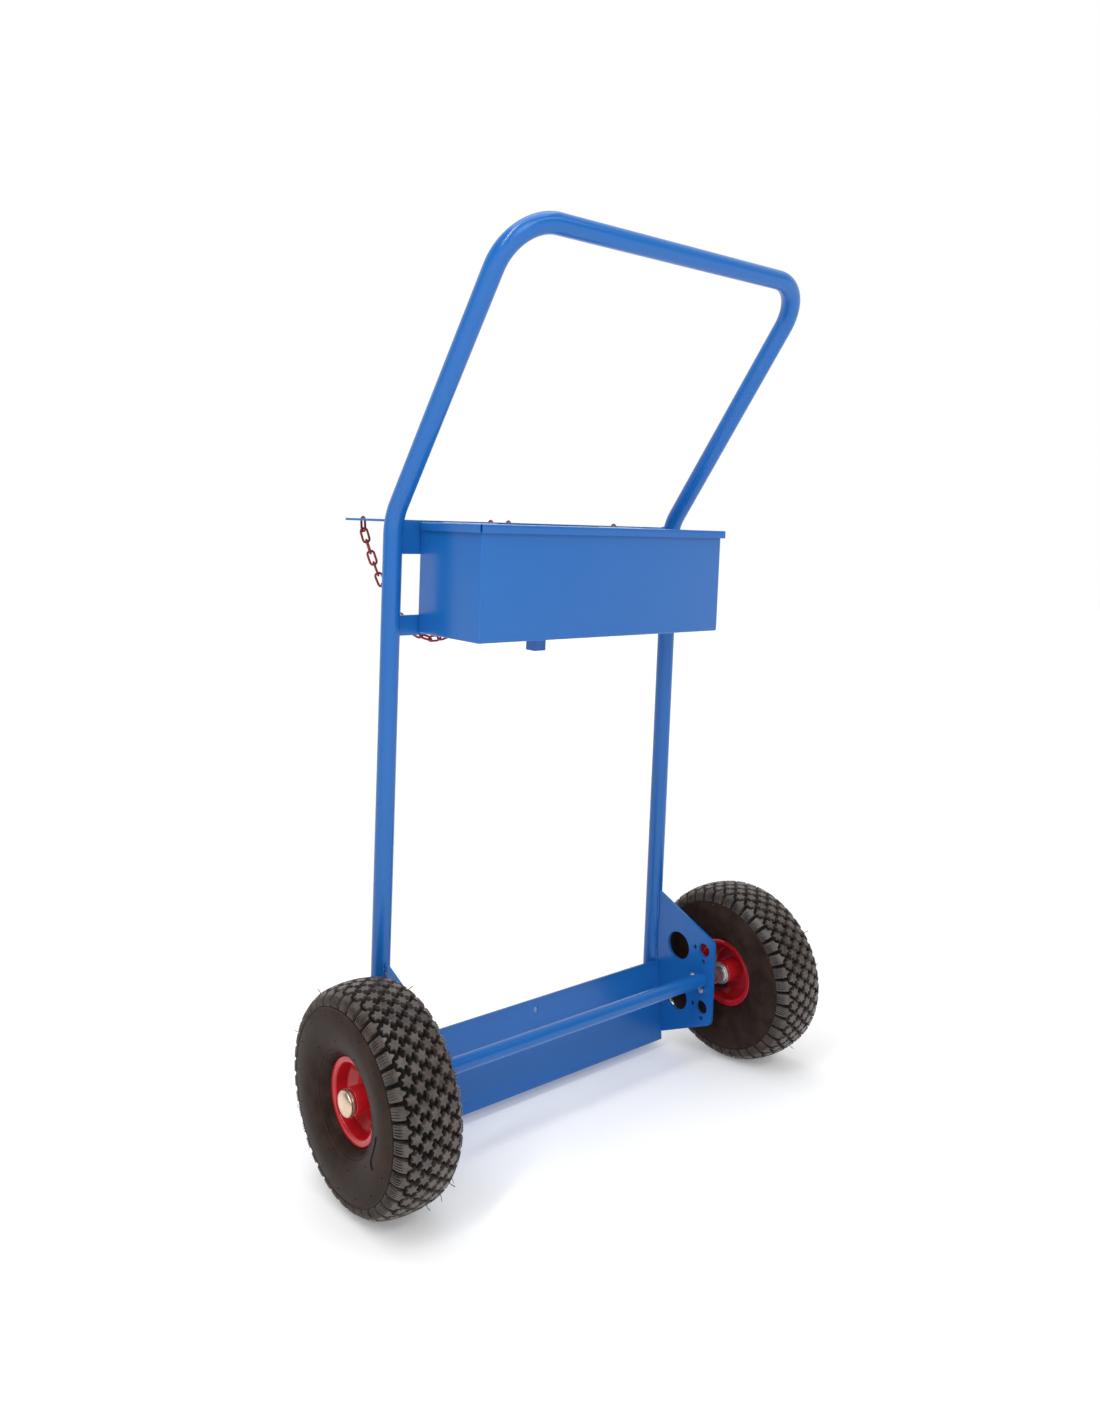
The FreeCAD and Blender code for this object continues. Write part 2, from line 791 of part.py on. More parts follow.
save("handle_frame", handle_frame())
save("base_tray", base_tray())
save("side_plate_right", side_plate())
save("side_plate_left", mirror(side_plate()))
save("axle", axle())
save("retaining_plate", retaining_plate())
save("lower_crossbar", lower_crossbar())
save("centre_post", centre_post())
save("tool_box", tool_box())
save("box_screws", box_screws())
save("box_nuts", box_nuts())
save("fixed_hinge_leaves", fixed_leaves())
save("lid_hinge_leaves", lid_leaves())
save("hinge_pins", hinge_pins())
save("lid", lid())
save("chain_end_links", end_links())
chain_mid = (slot_outer_x + slot_inner_x) / 2
save("chain_right", chain(chain_mid))
save("chain_left", chain(-chain_mid))

wheel_pieces = {"spacer": spacer, "axle_washer": axle_washer, "axle_cap": axle_cap, "tyre": tyre}
wheel_pieces.update({"inner_tube": inner_tube, "hub_tube": hub_tube, "hub_bushes": hub_bushes})
wheel_pieces.update({"valve_stem": valve_stem, "axle_ear": axle_ear})
wheel_pieces.update({"ear_bolts": ear_bolts, "ear_nuts": ear_nuts})
for name, make in wheel_pieces.items():
    piece = make()
    save(name + "_left", mirror(piece))
    save(name + "_right", piece)
for name, side in (("rim_outer", 1), ("rim_inner", -1)):
    save(name + "_right", rim(side))
    save(name + "_left", mirror(rim(side)))
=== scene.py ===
import json
import math

import bmesh
import bpy
import numpy as np
from mathutils import Matrix, Vector


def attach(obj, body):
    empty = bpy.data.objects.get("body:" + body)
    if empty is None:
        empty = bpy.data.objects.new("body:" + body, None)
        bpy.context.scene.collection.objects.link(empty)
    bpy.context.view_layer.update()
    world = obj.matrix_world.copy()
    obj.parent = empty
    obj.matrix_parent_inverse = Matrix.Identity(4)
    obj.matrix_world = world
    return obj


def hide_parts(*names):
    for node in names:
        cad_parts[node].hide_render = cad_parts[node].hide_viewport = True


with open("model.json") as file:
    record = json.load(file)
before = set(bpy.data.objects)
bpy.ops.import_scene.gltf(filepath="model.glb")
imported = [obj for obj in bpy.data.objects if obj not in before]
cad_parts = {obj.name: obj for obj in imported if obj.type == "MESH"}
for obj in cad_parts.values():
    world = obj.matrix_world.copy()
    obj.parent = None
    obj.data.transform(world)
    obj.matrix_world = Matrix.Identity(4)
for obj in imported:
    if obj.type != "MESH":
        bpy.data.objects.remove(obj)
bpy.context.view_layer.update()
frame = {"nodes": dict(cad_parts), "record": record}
nodes = frame["nodes"]
print("frame loaded:", len(nodes), "nodes")

mm = 0.001

# the picture: the camera is set by its place, its turns and where its axis meets the picture
picture = {"width": 1100, "height": 1422, "focal": 1053.2, "axisX": 443.0, "axisY": 585.5, "sensor": 36}
camera = {"place": (-0.9917, -1.1259, 0.6779), "yaw": 36.1, "pitch": 2.253, "roll": -2.487}


def makeCamera():
    # lens and shifts are the focal length and the axis, in pixels, over the longer side of the picture
    yaw, pitch, roll = (math.radians(camera[k]) for k in ("yaw", "pitch", "roll"))
    ahead = Vector((math.sin(yaw) * math.cos(pitch), math.cos(yaw) * math.cos(pitch), math.sin(pitch)))
    right = Vector((math.cos(yaw), -math.sin(yaw), 0))
    up = right.cross(ahead)
    rightTurned = right * math.cos(roll) + up * math.sin(roll)
    upTurned = up * math.cos(roll) - right * math.sin(roll)
    data = bpy.data.cameras.new("photoCamera")
    long = picture["height"]
    data.sensor_width = picture["sensor"]
    data.lens = picture["focal"] * data.sensor_width / long
    data.shift_x = (picture["width"] / 2 - picture["axisX"]) / long
    data.shift_y = (picture["axisY"] - picture["height"] / 2) / long
    obj = bpy.data.objects.new("photoCamera", data)
    turn = Matrix((rightTurned, upTurned, -ahead)).transposed().to_4x4()
    obj.matrix_world = Matrix.Translation(camera["place"]) @ turn
    bpy.context.scene.collection.objects.link(obj)
    bpy.context.scene.camera = obj


makeCamera()
print("camera set")


def linear(hexText):
    # sRGB hex to linear colour
    parts = np.array([int(hexText[i:i + 2], 16) for i in (0, 2, 4)]) / 255
    low = parts / 12.92
    high = ((parts + 0.055) / 1.055) ** 2.4
    return (*np.where(parts <= 0.04045, low, high).tolist(), 1.0)


def add(tree, kind, settings=None, links=None):
    # one node with its attributes, socket values and incoming links
    node = tree.nodes.new(kind)
    for name, value in (settings or {}).items():
        if isinstance(name, int) or name in node.inputs:
            node.inputs[name].default_value = value
        else:
            setattr(node, name, value)
    for name, source in (links or {}).items():
        tree.links.new(source, node.inputs[name])
    return node


# what all coats share: how fine the two noises are and which part of the drift is spread over both tones
coat = {"driftDetail": 3.0, "rippleDetail": 2.0, "spread": (0.2, 0.8)}


def coated(name, look):
    # a coat on a hard base: slow drift between two tones and two glosses, and a fine ripple in its height
    mat = bpy.data.materials.new(name)
    mat.use_nodes = True
    tree = mat.node_tree
    tree.nodes.clear()
    place = add(tree, "ShaderNodeTexCoord").outputs["Object"]
    drift = add(tree, "ShaderNodeTexNoise", {"Scale": 1 / (look["driftMm"] * mm), "Detail": coat["driftDetail"]},
                {"Vector": place})
    spread = add(tree, "ShaderNodeMapRange", {"interpolation_type": "SMOOTHSTEP", "From Min": coat["spread"][0],
                 "From Max": coat["spread"][1]}, {"Value": drift.outputs[0]})
    tone = add(tree, "ShaderNodeMix", {"data_type": "RGBA", 6: linear(look["dark"]), 7: linear(look["light"])},
               {0: spread.outputs[0]})
    ripple = add(tree, "ShaderNodeTexNoise", {"Scale": 1 / (look["rippleMm"] * mm), "Detail": coat["rippleDetail"]},
                 {"Vector": place})
    gloss = add(tree, "ShaderNodeMapRange", {"To Min": look["rough"][0], "To Max": look["rough"][1]},
                {"Value": spread.outputs[0]})
    bump = add(tree, "ShaderNodeBump", {"Strength": look["bump"], "Distance": look["heightMm"] * mm},
               {"Height": ripple.outputs[0]})
    shader = add(tree, "ShaderNodeBsdfPrincipled", {"Metallic": look.get("metal", 0.0), "IOR": look.get("ior", 1.5)},
                 {"Base Color": tone.outputs[2], "Roughness": gloss.outputs[0], "Normal": bump.outputs[0]})
    add(tree, "ShaderNodeOutputMaterial", None, {"Surface": shader.outputs[0]})
    return mat


# epoxy powder coat, sprayed and baked: glossy with a soft orange-peel ripple, drawn at 5 mm so that it shows
powderBlue = coated("powderCoatBlue", {"dark": "1661AC", "light": "1863AF", "driftMm": 260, "rippleMm": 5,
                    "heightMm": 0.12, "bump": 0.005, "rough": (0.22, 0.26), "ior": 1.44})
# stoved enamel on pressed steel: deep wet gloss that mirrors the light
enamelRed = coated("stovedEnamelRed", {"dark": "B41820", "light": "CC2630", "driftMm": 60, "rippleMm": 6,
                   "heightMm": 0.1, "bump": 0.05, "rough": (0.08, 0.14)})
# dipped lacquer on welded chain: thick and uneven, darker where it thins on the wire
lacquerRed = coated("dippedLacquerRed", {"dark": "760A12", "light": "9A131B", "driftMm": 7, "rippleMm": 2.5,
                    "heightMm": 0.15, "bump": 0.25, "rough": (0.25, 0.45)})
# zinc plate with a clear passivate: bright grey with a faint warm and cold drift
zincPlate = coated("zincPlatedSteel", {"dark": "B9B5AC", "light": "D2D3D6", "driftMm": 9, "rippleMm": 1.6,
                   "heightMm": 0.05, "bump": 0.15, "rough": (0.36, 0.50), "metal": 1.0})
# nickelled cap, pressed and polished: mirror with light scuffs, its warm brownish tint a painted reflection of its
# surroundings
capNickelWarmReflection = coated("polishedNickelWarmReflection", {"dark": "D0B69E", "light": "ECD4BE", "driftMm": 6, "rippleMm": 3,
                   "heightMm": 0.05, "bump": 0.08, "rough": (0.30, 0.40), "metal": 1.0})
# cold-drawn steel bar: plain grey metal with a dull sheen
drawnSteel = coated("coldDrawnSteel", {"dark": "8F8E8C", "light": "A9A9A8", "driftMm": 8, "rippleMm": 1.5,
                    "heightMm": 0.05, "bump": 0.2, "rough": (0.32, 0.45), "metal": 1.0})
# moulded tyre rubber, sidewall: brownish black with a dry bloom and a satin mould skin
sideRubber = coated("tyreSidewallRubber", {"dark": "261B16", "light": "382A23", "driftMm": 22, "rippleMm": 2.2,
                    "heightMm": 0.2, "bump": 0.25, "rough": (0.34, 0.46), "ior": 1.16})
# moulded tyre rubber, tread: blacker and drier, with scuffed block faces
treadRubber = coated("tyreTreadRubber", {"dark": "2A2422", "light": "5A4F48", "driftMm": 12, "rippleMm": 1.8,
                     "heightMm": 0.25, "bump": 0.35, "rough": (0.30, 0.48), "ior": 1.55})
# the same rubber down in the grooves, painted near black as painted shade for the shade that falls between the blocks
grooveShadeRubber = coated("tyreGroovePaintedShade", {"dark": "0B0A0A", "light": "131212", "driftMm": 12, "rippleMm": 1.8,
                      "heightMm": 0.25, "bump": 0.3, "rough": (0.70, 0.85), "ior": 1.3})
# butyl rubber of tube and valve: smooth dull grey-black
butyl = coated("butylRubber", {"dark": "242424", "light": "343333", "driftMm": 10, "rippleMm": 2,
               "heightMm": 0.1, "bump": 0.2, "rough": (0.45, 0.6)})
# natural nylon, turned: milky white, slightly waxy
nylon = coated("naturalNylon", {"dark": "CFCABD", "light": "DDD9CF", "driftMm": 10, "rippleMm": 2,
               "heightMm": 0.05, "bump": 0.1, "rough": (0.4, 0.5)})
slotFinish = {"blue_paint": powderBlue, "red_paint": enamelRed, "red_chain": lacquerRed, "zinc_steel": zincPlate,
              "tyre": treadRubber, "tube_rubber": butyl, "bush_plastic": nylon}
for sub in frame["record"]["subparts"]:
    shown = nodes[sub["node"]].data
    shown.materials.clear()
    shown.materials.append(slotFinish[sub["material_slot"]])
print("finishes made")

# the room: a bright wall ahead, a dimmer hall behind, a white floor
studio = {"floorHalf": 60.0, "floorZ": -0.0002, "floor": "F4F4F4", "floorRough": 0.9,
          "glowNear": 0.22, "glowFar": 0.62, "glowReach": (1.2, 4.5),
          "wall": 1.0, "hall": 0.15, "wallWay": (0.59, 0.81, 0.0), "wallEdge": (-0.25, 0.5)}
# area lights: place, size and power, all aimed at the middle of the trolley
lamps = {"overhead": {"place": (-0.2, -0.4, 3.2), "size": (2.2, 2.2), "watts": 30},
         "frontKey": {"place": (-1.1, -2.5, 1.9), "size": (1.5, 1.5), "watts": 26},
         "leftStrip": {"place": (-1.9, -0.9, 2.5), "size": (0.14, 2.2), "watts": 30},
         "rearStrip": {"place": (0.7, -2.6, 2.4), "size": (2.2, 0.14), "watts": 10}}
aim = Vector((0, 0, 0.75))


def makeStudio():
    # the floor glows more with distance, so that it stays white where the lamps no longer reach
    half, low = studio["floorHalf"], studio["floorZ"]
    mesh = bpy.data.meshes.new("studioFloor")
    corners = [(-half, -half, low), (half, -half, low), (half, half, low), (-half, half, low)]
    mesh.from_pydata(corners, [], [(0, 1, 2, 3)])
    floor = bpy.data.objects.new("studioFloor", mesh)
    bpy.context.scene.collection.objects.link(floor)
    paper = bpy.data.materials.new("paperBackdrop")
    paper.use_nodes = True
    tree = paper.node_tree
    shader = tree.nodes["Principled BSDF"]
    shader.inputs["Base Color"].default_value = linear(studio["floor"])
    shader.inputs["Roughness"].default_value = studio["floorRough"]
    shader.inputs["Emission Color"].default_value = (1, 1, 1, 1)
    place = add(tree, "ShaderNodeTexCoord").outputs["Object"]
    away = add(tree, "ShaderNodeVectorMath", {"operation": "LENGTH"}, {0: place})
    glow = add(tree, "ShaderNodeMapRange", {"From Min": studio["glowReach"][0], "From Max": studio["glowReach"][1],
               "To Min": studio["glowNear"], "To Max": studio["glowFar"]}, {"Value": away.outputs["Value"]})
    tree.links.new(glow.outputs[0], shader.inputs["Emission Strength"])
    mesh.materials.append(paper)
    world = bpy.data.worlds.new("studioSky")
    bpy.context.scene.world = world
    world.use_nodes = True
    tree = world.node_tree
    tree.nodes.clear()
    way = add(tree, "ShaderNodeTexCoord").outputs["Generated"]
    toward = add(tree, "ShaderNodeVectorMath", {"operation": "DOT_PRODUCT", 1: studio["wallWay"]}, {0: way})
    lift = add(tree, "ShaderNodeMapRange", {"interpolation_type": "SMOOTHSTEP", "From Min": studio["wallEdge"][0],
               "From Max": studio["wallEdge"][1], "To Min": studio["hall"], "To Max": studio["wall"]},
               {"Value": toward.outputs["Value"]})
    glow = add(tree, "ShaderNodeBackground", {"Color": (1, 1, 1, 1)}, {"Strength": lift.outputs[0]})
    add(tree, "ShaderNodeOutputWorld", None, {"Surface": glow.outputs[0]})
    for name, lamp in lamps.items():
        data = bpy.data.lights.new(name, "AREA")
        data.shape = "RECTANGLE"
        data.size, data.size_y = lamp["size"]
        data.energy = lamp["watts"]
        obj = bpy.data.objects.new(name, data)
        way = aim - Vector(lamp["place"])
        obj.matrix_world = Matrix.Translation(lamp["place"]) @ way.to_track_quat("-Z", "Y").to_matrix().to_4x4()
        bpy.context.scene.collection.objects.link(obj)


makeStudio()
bpy.context.scene.view_settings.view_transform = "Standard"  # plain sRGB, as a product photo has
print("studio lit")

# the frame leans back: v runs forward and u up along the uprights, both in mm
stance = {"lean": 7.3, "shiftY": 85.6704, "shiftZ": -0.0226}
axle = {"y": -37.348, "z": 130.0, "track": 331.0}


def lean(way):
    # directions (x, v, u) turned about X by the lean
    w = np.asarray(way, float)
    a = math.radians(stance["lean"])
    turned = [w[..., 0], w[..., 1] * math.cos(a) - w[..., 2] * math.sin(a)]
    return np.stack(turned + [w[..., 1] * math.sin(a) + w[..., 2] * math.cos(a)], -1)


def stand(points):
    # points (x, v, u) in mm leaned back and shifted into the shared frame, still in mm
    return lean(points) + (0, stance["shiftY"], stance["shiftZ"])


def unit(way):
    # directions scaled to length one
    return way / np.linalg.norm(way, axis=-1, keepdims=True)


def circle(r, count):
    # points evenly round a circle
    a = 2 * math.pi * np.arange(count) / count
    return np.stack([r * np.cos(a), r * np.sin(a)], -1)


def roundedPath(points, radii, steps):
    # straight runs joined by arcs: each arc is tangent to both runs, its middle on the corner's bisector
    p = np.asarray(points, float)
    out = [p[:1]]
    for before, corner, after, r in zip(p[:-2], p[1:-1], p[2:], radii):
        d1, d2 = unit(before - corner), unit(after - corner)
        half = math.acos(float(np.clip(d1 @ d2, -1, 1))) / 2
        mid, across = unit(d1 + d2), unit(d2 - d1)
        t = np.linspace(-1, 1, steps)[:, None] * (math.pi / 2 - half)
        out.append(corner + mid * (r / math.sin(half)) - mid * r * np.cos(t) + across * r * np.sin(t))
    return np.concatenate(out + [p[-1:]])


def smoothLine(points, steps):
    # a curve through the points: on each run a cubic whose end slopes are half the step between its neighbours
    p = np.asarray(points, float)
    q = np.concatenate([2 * p[:1] - p[1:2], p, 2 * p[-1:] - p[-2:-1]])
    t = np.linspace(0, 1, steps, endpoint=False)[None, :, None]
    a, b, c, d = q[:-3, None], q[1:-2, None], q[2:-1, None], q[3:, None]
    run = (2 * b + (c - a) * t + (2 * a - 5 * b + 4 * c - d) * t ** 2 + (3 * b - a - 3 * c + d) * t ** 3) / 2
    return np.concatenate([run.reshape(-1, p.shape[1]), p[-1:]])


def directions(path, closed=False):
    # unit direction at each station: the sum of the unit runs before and after it
    runs = unit(np.diff(np.concatenate([path, path[:1]]) if closed else path, axis=0))
    if closed:
        return unit(runs + np.roll(runs, 1, axis=0))
    return unit(np.concatenate([runs[:1], runs]) + np.concatenate([runs, runs[-1:]]))


def carry(path, ring, ref, closed=False):
    # a profile carried along a path: its first number goes sideways, its second towards the reference direction
    t = directions(path, closed)
    side = unit(np.cross(t, ref))
    up = np.cross(side, t)
    ring = ring if ring.ndim == 3 else ring[None]
    return path[:, None] + ring[..., :1] * side[:, None] + ring[..., 1:] * up[:, None]


def turned(profile, side=1, xMid=0.0, count=96, centre=None, swell=None):
    # a profile of (x, r) turned around a line along X; swell scales r by row and angle
    y0, z0 = centre or (axle["y"], axle["z"])
    p = np.asarray(profile, float)
    a = 2 * math.pi * np.arange(count) / count
    r = p[:, 1:] * (1.0 if swell is None else swell)
    x = np.broadcast_to(side * (xMid + p[:, :1]), (len(p), count))
    return np.stack([x, y0 + r * np.cos(a), z0 + r * np.sin(a)], -1)


def sheetOutline(line, thick, tips=0):
    # outline of a bent sheet: its middle line offset both ways by half the thickness, ends square or half round
    t = directions(line)
    n = np.stack([-t[:, 1], t[:, 0]], -1) * thick / 2
    a = np.linspace(0, math.pi, tips + 2)[1:-1, None]
    last = line[-1] + n[-1] * np.cos(a) + t[-1] * thick / 2 * np.sin(a)
    first = line[0] - n[0] * np.cos(a) - t[0] * thick / 2 * np.sin(a)
    return np.concatenate([line + n, last, (line - n)[::-1], first])


def shell(grid, wrapRows=False, caps=False, mat=0):
    # a grid of points, closed round its columns, with quads between neighbours and a flat face over each end row
    rows, cols = grid.shape[:2]
    i = np.arange(rows if wrapRows else rows - 1)[:, None]
    j = np.arange(cols)[None, :]
    below, beside = (i + 1) % rows, (j + 1) % cols
    quads = np.stack([i * cols + j, i * cols + beside, below * cols + beside, below * cols + j], -1).reshape(-1, 4)
    faces = [quads]
    if caps:
        faces += [np.arange(cols)[None, ::-1], (rows - 1) * cols + np.arange(cols)[None, :]]
    return grid.reshape(-1, 3), faces, mat


def many(grids, mat):
    # the same closed shell on each of many copies of a grid, as one set of points and faces
    count, rows, cols = grids.shape[:3]
    faces = shell(grids[0], caps=True)[1]
    step = np.arange(count)[:, None, None] * rows * cols
    return grids.reshape(-1, 3), [(f[None] + step).reshape(-1, f.shape[1]) for f in faces], mat


def outward(points, faces):
    # the faces turned round where the signed volume of the shell is negative
    volume = 0.0
    for f in faces:
        p = points[f]
        ends = np.cross(p[:, 1:-1], p[:, 2:])
        volume += float((p[:, :1] * ends).sum())
    return faces if volume > 0 else [f[:, ::-1] for f in faces]


def makePiece(name, shells, body, finishes, replaced=(), sharp=32):
    # joins shells, in mm, into one mesh in metres, smooth but for edges past the sharp angle
    points, loops, sizes, marks, start = [], [], [], [], 0
    for shellPoints, faces, mat in shells:
        for f in outward(shellPoints, faces):
            loops.append((f + start).ravel())
            sizes.append(np.full(len(f), f.shape[1]))
            marks.append(np.full(len(f), mat))
        points.append(shellPoints)
        start += len(shellPoints)
    loops, sizes, marks = (np.concatenate(k).astype(np.int32) for k in (loops, sizes, marks))
    mesh = bpy.data.meshes.new(name)
    mesh.vertices.add(start)
    mesh.loops.add(len(loops))
    mesh.polygons.add(len(sizes))
    mesh.vertices.foreach_set("co", (np.concatenate(points) * mm).ravel())
    mesh.loops.foreach_set("vertex_index", loops)
    mesh.polygons.foreach_set("loop_start", np.concatenate([[0], np.cumsum(sizes)[:-1]]).astype(np.int32))
    for finish in finishes:
        mesh.materials.append(finish)
    mesh.polygons.foreach_set("material_index", marks)
    mesh.polygons.foreach_set("use_smooth", np.ones(len(sizes), bool))
    mesh.update(calc_edges=True)
    mesh.validate()
    mesh.set_sharp_from_angle(angle=math.radians(sharp))
    obj = bpy.data.objects.new(name, mesh)
    bpy.context.scene.collection.objects.link(obj)
    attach(obj, body)
    if replaced:
        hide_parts(*replaced)
    return obj


# cut edges of the plates: width of the roll and the angles that count as flat and as sharp
edges = {"bevelMm": 0.6, "segments": 2, "flat": 1.0, "sharp": 30.0, "merge": 1e-6}


def rolledCopy(name, node, finish):
    # a merged copy of a flat solid with its cut edges rolled over as the coat leaves them
    work = bmesh.new()
    work.from_mesh(nodes[node].data)
    bmesh.ops.remove_doubles(work, verts=work.verts, dist=edges["merge"])
    bmesh.ops.dissolve_limit(work, angle_limit=math.radians(edges["flat"]), verts=work.verts, edges=work.edges)
    mesh = bpy.data.meshes.new(name)
    work.to_mesh(mesh)
    work.free()
    mesh.materials.clear()
    mesh.materials.append(finish)
    mesh.polygons.foreach_set("use_smooth", np.ones(len(mesh.polygons), bool))
    mesh.set_sharp_from_angle(angle=math.radians(edges["sharp"]))
    obj = bpy.data.objects.new(name, mesh)
    bpy.context.scene.collection.objects.link(obj)
    roll = obj.modifiers.new("rolledEdge", "BEVEL")
    roll.width = edges["bevelMm"] * mm
    roll.segments = edges["segments"]
    roll.limit_method = "ANGLE"
    roll.angle_limit = math.radians(edges["sharp"])
    roll.harden_normals = True
    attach(obj, "frame")
    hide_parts(node)


# handle frame: one bent tube, both feet cut level on the tray floor
handle = {"r": 12.5, "half": 257.5, "kinkHeight": 818.0, "legLean": 41.0, "top": 1119.0, "kinkR": 70.0,
          "cornerR": 62.0, "low": 8.0, "floor": 13.5, "around": 48, "bendSteps": 22}


def handlePath():
    # two uprights, two legs leaning further back and the top bar, with an arc at each of the four corners
    a = math.radians(stance["lean"])
    tilt = math.radians(handle["legLean"]) - a
    kink = handle["kinkHeight"] / math.cos(a)
    leg = (handle["top"] - handle["kinkHeight"]) / math.cos(math.radians(handle["legLean"]))
    v, u, x = -leg * math.sin(tilt), kink + leg * math.cos(tilt), handle["half"]
    corners = [(-x, 0, handle["low"]), (-x, 0, kink), (-x, v, u), (x, v, u), (x, 0, kink), (x, 0, handle["low"])]
    radii = [handle["kinkR"], handle["cornerR"], handle["cornerR"], handle["kinkR"]]
    ref = lean(np.array([0, -math.cos(tilt), -math.sin(tilt)]))
    return stand(roundedPath(corners, radii, handle["bendSteps"])), ref


def makeHandle():
    # a round section carried along the path, with both ends slid along the tube to the height of the floor
    path, ref = handlePath()
    grid = carry(path, circle(handle["r"], handle["around"]), ref)
    way = directions(path)
    for end in (0, -1):
        grid[end] += way[end] * ((handle["floor"] - grid[end][:, 2:]) / way[end][2])
    makePiece("handleTube", [shell(grid, caps=True)], "frame", [powderBlue], ["handle_frame"])


makeHandle()
for name, node in (("baseTray", "base_tray"), ("sidePlateLeft", "side_plate_left"),
                   ("sidePlateRight", "side_plate_right"), ("retainingPlate", "retaining_plate"),
                   ("lowerCrossbar", "lower_crossbar"), ("centrePost", "centre_post"),
                   ("axleEarLeft", "axle_ear_left"), ("axleEarRight", "axle_ear_right")):
    rolledCopy(name, node, powderBlue)
print("frame tube and plates made")

# tyre: profile points (x, r) from the bead to the crown, then the tread pattern on it
tyre = {"profile": [(27.4, 50.1), (31.0, 51.5), (38.1, 57.0), (44.0, 66.8), (47.0, 82.0), (47.0, 96.0),
                    (44.9, 108.8), (40.7, 118.8), (32.4, 125.8), (16.9, 129.0), (0.0, 130.0)],
        "beadR": 44.1, "toe": 14.0, "count": 40, "crownR": 130.0, "deep": 5.6, "ringR": 109.0, "ease": 7.0,
        "steps": 40, "rows": 81, "around": 200}
# thin raised rings on the side walls as (r, height), with the rows that draw each of them
moulding = {"rings": [(109.0, 0.7), (62.0, 0.45), (58.5, 0.35)], "middle": 1.2, "soft": 0.6,
            "rows": [-0.4, 0.0, 0.4, 0.8, 1.2, 1.6, 2.0, 2.4, 2.8, 3.4, 4.0]}
# star-shaped blocks in columns across the crown, and the thin ribs that tie each to the next column
stars = {"columns": [-26.0, -13.0, 0.0, 13.0, 26.0], "tip": 8.1, "valley": 4.7, "points": 6, "draft": 1.14,
         "edge": 0.5, "inset": 0.93, "root": 0.8}
ties = {"wide": 1.1, "drop": 1.5, "span": (0.25, 0.75), "steps": 3}
# blocks over the shoulder as lengths w from the crown with half widths, and the fine ribs on them
shoulder = {"w": [31.0, 35.6, 36.4, 41.0, 47.0, 54.0], "ring": 54.5, "half": [0.8, 3.4, 7.2, 7.4, 7.5, 7.6],
            "root": 1.2, "draft": 1.12, "sink": 0.4}
grips = {"offsets": [-5.0, -1.7, 1.7, 5.0], "half": 0.55, "w": [40.5, 45.0, 50.0, 53.5], "height": 1.5,
         "fade": [0.2, 1, 1, 0.2], "draft": 1.6, "root": 0.8}
# hairs of the mould's vents, and the stubs of trimmed ones as (share of r, height) on rings of (r, number)
hairs = {"number": 36, "r": 0.45, "long": (4.0, 9.0), "span": (0.0, 360.0), "across": (20, 62), "bow": 3.0,
         "root": 0.6, "sides": 5, "steps": 6, "seed": 11}
nubs = {"r": 0.9, "rings": [(99.0, 16), (71.0, 10)], "start": 0.3, "levels": [(1.0, -0.5), (0.8, 0.7), (0.4, 1.0)],
        "sides": 6}
# one long thread of flash on the left tyre, as (r, degrees) round the wheel
flash = {"spots": [(77.3, -174.0), (75.9, -167.8), (73.9, -159.9), (73.3, -151.6), (74.3, -147.5),
                   (77.4, -145.5), (82.3, -144.9)], "r": 0.5, "lift": 0.5, "steps": 8, "sides": 6}


def tyreLine():
    # the whole outer line from bead to bead, its outward normals and its length from the crown
    half = np.array(tyre["profile"])
    line = smoothLine(np.concatenate([half * (-1, 1), half[-2::-1]]), tyre["steps"])
    t = directions(line)
    n = np.stack([-t[:, 1], t[:, 0]], -1)
    w = np.concatenate([[0], np.cumsum(np.linalg.norm(np.diff(line, axis=0), axis=1))])
    return line, n, w - w[-1] / 2


tyreOuter, tyreNormal, tyreW = tyreLine()


def wallW(r):
    # length across from the crown to where the outer line has that radius
    right = tyreW >= 0
    return np.interp(-np.asarray(r, float), -tyreOuter[right, 1], tyreW[right])


ringW = float(wallW(tyre["ringR"]))


def grooveDepth(w):
    # depth of the casing under the block faces: full across the tread, easing to nothing at the ring line
    t = np.clip((ringW - np.abs(w)) / tyre["ease"], 0, 1)
    return tyre["deep"] * t * t * (3 - 2 * t)


def onTyre(points, side):
    # points (s, w, h): arc round the crown, length across from the crown, height over the block faces
    s, w, h = points[..., 0], points[..., 1], points[..., 2]
    x, r = (np.interp(w, tyreW, tyreOuter[:, k]) + h * np.interp(w, tyreW, tyreNormal[:, k]) for k in (0, 1))
    a = s / tyre["crownR"]
    return np.stack([side * (axle["track"] + x), axle["y"] + r * np.cos(a), axle["z"] + r * np.sin(a)], -1)


def casing(side):
    # the outer line sunk by the groove depth, with bell-shaped rings on the side walls, closed at the beads
    rings = np.concatenate([wallW(r) + np.array(moulding["rows"]) for r, high in moulding["rings"]])
    w = np.sort(np.concatenate([np.linspace(tyreW[0], tyreW[-1], tyre["rows"]), rings, -rings]))
    rise = sum(high * np.exp(-((np.abs(w) - wallW(r) - moulding["middle"]) / moulding["soft"]) ** 2)
               for r, high in moulding["rings"])
    outer, normal = (np.stack([np.interp(w, tyreW, k[:, i]) for i in (0, 1)], -1) for k in (tyreOuter, tyreNormal))
    line = outer + normal * (rise - grooveDepth(w))[:, None]
    heel, toe, low = tyre["profile"][0][0], tyre["toe"], tyre["beadR"]
    line = np.concatenate([[(-toe, low), (-heel, low)], line, [(heel, low), (toe, low)]])
    points, faces = shell(turned(line, side, axle["track"], tyre["around"]), wrapRows=True)[:2]
    rows = faces[0][:, 0] // tyre["around"]
    onTread = np.pad(np.abs(w) < ringW, 2)[rows]
    return points, outward(points, faces), onTread


